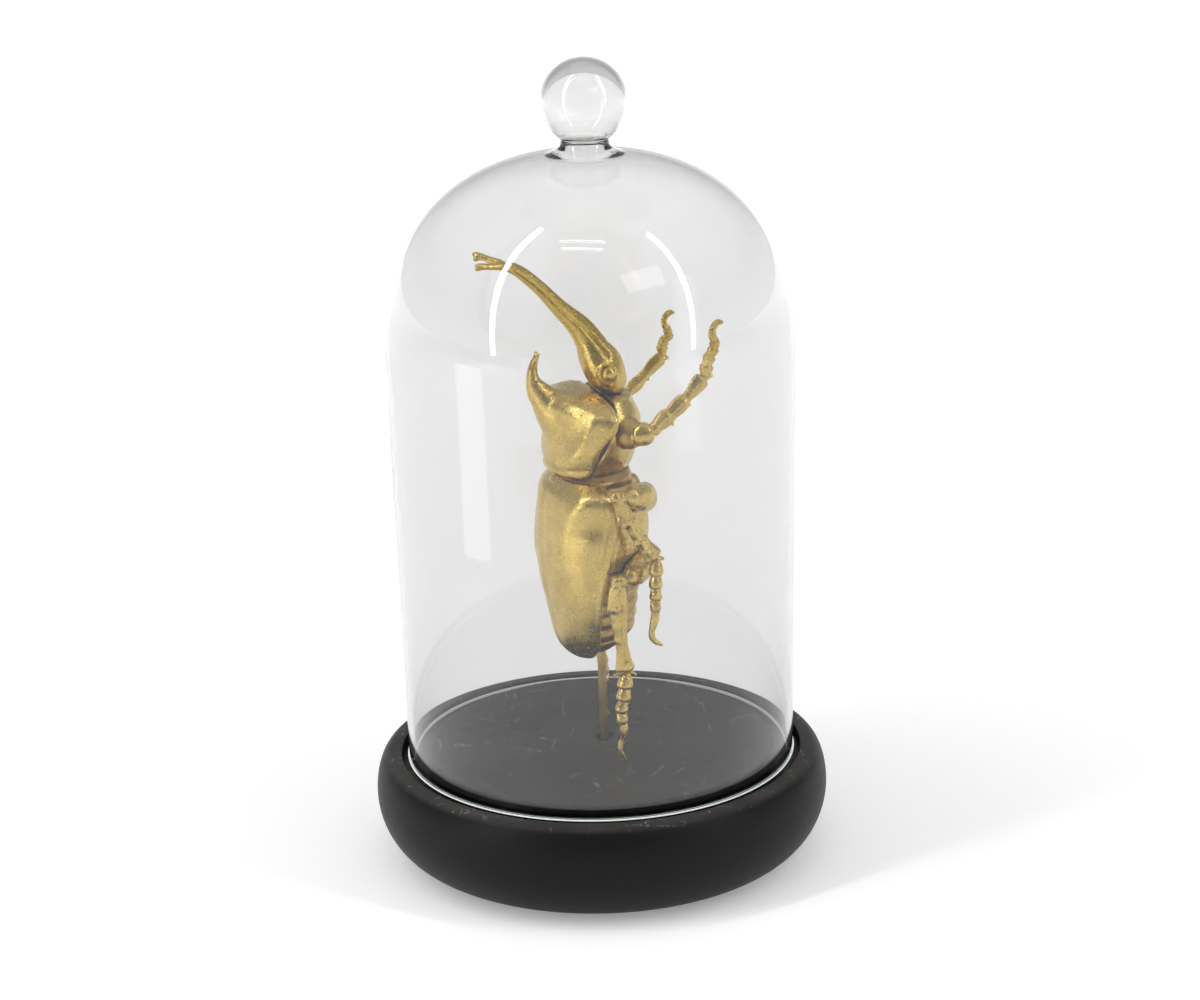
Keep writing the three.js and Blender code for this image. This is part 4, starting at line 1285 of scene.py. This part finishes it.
def middle_legs() -> list[Leg]:
    """Gives the middle legs, which stand the same way on both sides."""
    return [
        Leg(f"middle_{hand.word}", (7.6, s * 3.6, 68.2), (2.6, 3.0, 2.6),
            [(8.0, s * 6.9, 69.0), (4.8, s * 12.0, 70.8), (0.8, s * 15.2, 72.2)],
            [(0, 2.2, 2.0), (0.3, 2.7, 2.3), (0.7, 2.3, 2.0), (1, 1.6, 1.5)],
            [(-1.0, s * 15.6, 72.4), (1.2, s * 15.5, 68.0), (3.7, s * 15.3, 63.6), (6.3, s * 15.1, 59.9)],
            [(0, 1.05, 1.0), (0.2, 1.2, 1.0), (0.5, 1.15, 1.0), (0.75, 1.25, 1.05), (0.92, 1.6, 1.2),
             (1, 1.8, 1.2)],
            [(0.38, -0.8, -0.6, 1.9), (0.68, -0.8, -0.5, 1.8), (0.97, -0.9, -0.5, 2.0),
             (0.97, 0.9, -0.3, 2.1)],
            [(6.5, s * 15.1, 59.3), (6.3, s * 15.1, 55.4), (6.2, s * 15.1, 51.8), (6.0, s * 15.1, 48.4),
             (5.3, s * 15.1, 46.2)],
            1.3, [(5.3, s * 15.1, 46.6), (5.6, s * 15.1, 44.4), (7.2, s * 15.1, 43.4)], 53 + s)
        for hand, s in ((hand, hand.value) for hand in Hand)
    ]


def hind_legs() -> list[Leg]:
    """Gives the hind legs; the left foot hangs nearer the rod."""
    shin_rows = [(0, 1.2, 1.1), (0.1, 1.5, 1.2), (0.25, 1.8, 1.3), (0.4, 1.5, 1.2), (0.55, 1.2, 1.1),
                 (0.7, 1.05, 1.0), (0.9, 1.5, 1.2), (1, 2.0, 1.3)]
    thigh_rows = [(0, 2.2, 1.9), (0.4, 2.7, 2.2), (1, 1.5, 1.3)]
    spurs = [(0.28, -0.5, -0.9, 1.7), (0.64, -0.6, -0.8, 1.7), (0.97, -0.9, -0.4, 2.6),
             (0.97, 0.9, -0.6, 2.6)]
    return [
        Leg("hind_right", (6.6, 4.2, 58.0), (2.2, 3.4, 2.4),
            [(7.4, 7.9, 57.8), (4.4, 11.2, 56.8), (0.8, 14.4, 56.2)], thigh_rows,
            [(-0.9, 14.6, 56.2), (-0.8, 14.5, 51.6), (-0.3, 14.3, 45.2), (0.5, 14.1, 38.6)],
            shin_rows, spurs,
            [(0.6, 14.1, 38.0), (0.0, 14.1, 33.6), (-0.5, 14.1, 30.6), (-0.1, 14.1, 27.6),
             (-0.4, 14.1, 25.0)],
            1.4, [(-0.5, 14.1, 25.4), (-0.9, 14.1, 23.6), (-0.1, 14.1, 21.5)], 61, 0.42),
        Leg("hind_left", (6.6, -4.2, 58.0), (2.2, 3.4, 2.4),
            [(7.4, -7.9, 57.6), (4.8, -11.2, 56.2), (1.4, -14.2, 54.8)], thigh_rows,
            [(0.2, -14.4, 53.6), (1.0, -13.6, 48.4), (2.2, -12.0, 42.4), (3.3, -10.4, 36.8)],
            shin_rows, spurs,
            [(3.4, -10.2, 36.2), (3.9, -9.6, 32.4), (4.2, -9.4, 29.4), (3.9, -9.3, 26.6),
             (4.0, -9.2, 24.2)],
            1.15, [(4.0, -9.2, 24.6), (3.7, -9.1, 22.8), (4.6, -9.0, 21.5)], 67, 0.42),
    ]


# ---- Studio -------------------------------------------------------------------------------------


MIDDLE_HEIGHT = 0.075  # what the lights are aimed at, in metres above the floor


@dataclass
class Softbox:
    """One area light, placed by its bearing from the object and facing it.

    Attributes:
        name: its name.
        bearing: degrees round from the camera's side of the object towards +X.
        lift: degrees above the floor.
        distance: metres from the object.
        size: its width and height in metres.
        power: watts.
        roll: degrees that its top leans to the left, seen from behind the light.
    """

    name: str
    bearing: float
    lift: float
    distance: float
    size: Span
    power: float
    roll: float = 0.0

    def build(self) -> None:
        """Hangs the light."""
        light = bpy.data.lights.new(self.name, "AREA")
        light.shape = "RECTANGLE"
        light.size, light.size_y = self.size
        light.energy = self.power
        holder = in_scene(self.name, light)
        bearing, lift = math.radians(self.bearing), math.radians(self.lift)
        aim = Vector((0, 0, MIDDLE_HEIGHT))
        away = Vector((math.sin(bearing) * math.cos(lift), -math.cos(bearing) * math.cos(lift),
                       math.sin(lift)))
        holder.location = aim + away * self.distance
        holder.rotation_mode = "QUATERNION"
        lean = Quaternion((0, 0, 1), math.radians(self.roll))
        holder.rotation_quaternion = away.to_track_quat("Z", "Y") @ lean


@dataclass
class Studio:
    """White paper floor, pale walls, softboxes and the camera; its place is in metres."""

    camera_place: Place = (0.0, -0.51524, 0.22763)
    camera_dip: float = 17.416
    camera_roll: float = -1.552
    lens: float = 88.242
    shift: Span = (0.0046, 0.00545)
    softboxes: Sequence[Softbox] = (
        Softbox("tall_strip_left", -61, 37, 0.95, (0.045, 1.45), 5.0, 12),
        Softbox("tall_strip_right", 64, 33, 0.95, (0.036, 1.25), 2.9, -12),
        Softbox("low_panel_left", -65, -9, 0.21, (0.06, 0.075), 0.016),
        Softbox("ceiling_tube_near", -7, 68.5, 1.3, (0.44, 0.011), 0.27),
        Softbox("ceiling_tube_far", -7, 74.5, 1.3, (0.44, 0.011), 0.27),
        Softbox("window", 39, 42, 1.1, (0.42, 0.24), 0.45),
        Softbox("overhead", 160, 70, 1.2, (1.0, 1.0), 0.6),
    )

    def make_world(self) -> None:
        """Makes the pale room: light walls, a brighter foot and ceiling, and a dimmer camera side."""
        world = bpy.data.worlds.new("pale_room")
        bpy.context.scene.world = world
        world.use_nodes = True
        nodes = Nodes(world.node_tree)
        way = nodes.add("TexCoord").outputs["Generated"]
        height = nodes.axis(way, "Z")
        front = nodes.ramp(nodes.axis(way, "Y"), (-0.9, 0.15), (0.17, 0.45), smooth=True)
        lift = nodes.ramp(height, (0.3, 0.95), (0.0, 0.2), smooth=True)
        low = nodes.ramp(height, (0.0, 0.3), (0.4, 0.0), smooth=True)
        total = nodes.maths("ADD", nodes.maths("ADD", front, lift), low)
        shade = nodes.add("Background", links={"Color": linear("FFFFFF"), "Strength": total})
        nodes.add("OutputWorld", links={"Surface": shade.outputs[0]})

    def make_floor(self) -> None:
        """Lays the paper."""
        reach, level = 12.0, -0.0002
        corners = [(-reach, -reach, level), (reach, -reach, level), (reach, reach, level),
                   (-reach, reach, level)]
        mesh = as_mesh("paper_floor", Skin(np.array(corners), [(0, 1, 2, 3)]))
        mesh.materials.append(PAPER.material())
        in_scene("paper_floor", mesh)

    def make_camera(self) -> None:
        """Sets up the camera."""
        data = bpy.data.cameras.new("camera")
        data.sensor_width = 36.0
        data.lens = self.lens
        data.shift_x, data.shift_y = self.shift
        data.clip_start, data.clip_end = 0.01, 50.0
        camera = in_scene("camera", data)
        dip = Matrix.Rotation(math.radians(90 - self.camera_dip), 4, "X")
        roll = Matrix.Rotation(math.radians(self.camera_roll), 4, "Z")
        camera.matrix_world = Matrix.Translation(self.camera_place) @ dip @ roll
        bpy.context.scene.camera = camera

    def build(self) -> None:
        """Sets up the studio."""
        self.make_world()
        self.make_floor()
        self.make_camera()
        for softbox in self.softboxes:
            softbox.build()
        view = bpy.context.scene.view_settings
        view.view_transform = "Standard"
        view.look = "None"
        LOG.info("studio: %d softboxes", len(self.softboxes))


def main() -> None:
    """Builds the base, the dome, the rod, the beetle and the studio."""
    logging.basicConfig(level=logging.INFO, format="%(message)s")
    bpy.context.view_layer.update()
    for part in (TurnedBase(), GlassDome(), MountRod(), WingCases(), Trunk(), FrontShield(), Head()):
        part.build()
    for leg in (*front_legs(), *middle_legs(), *hind_legs()):
        leg.build()
    Studio().build()


if __name__ == "__main__":
    main()
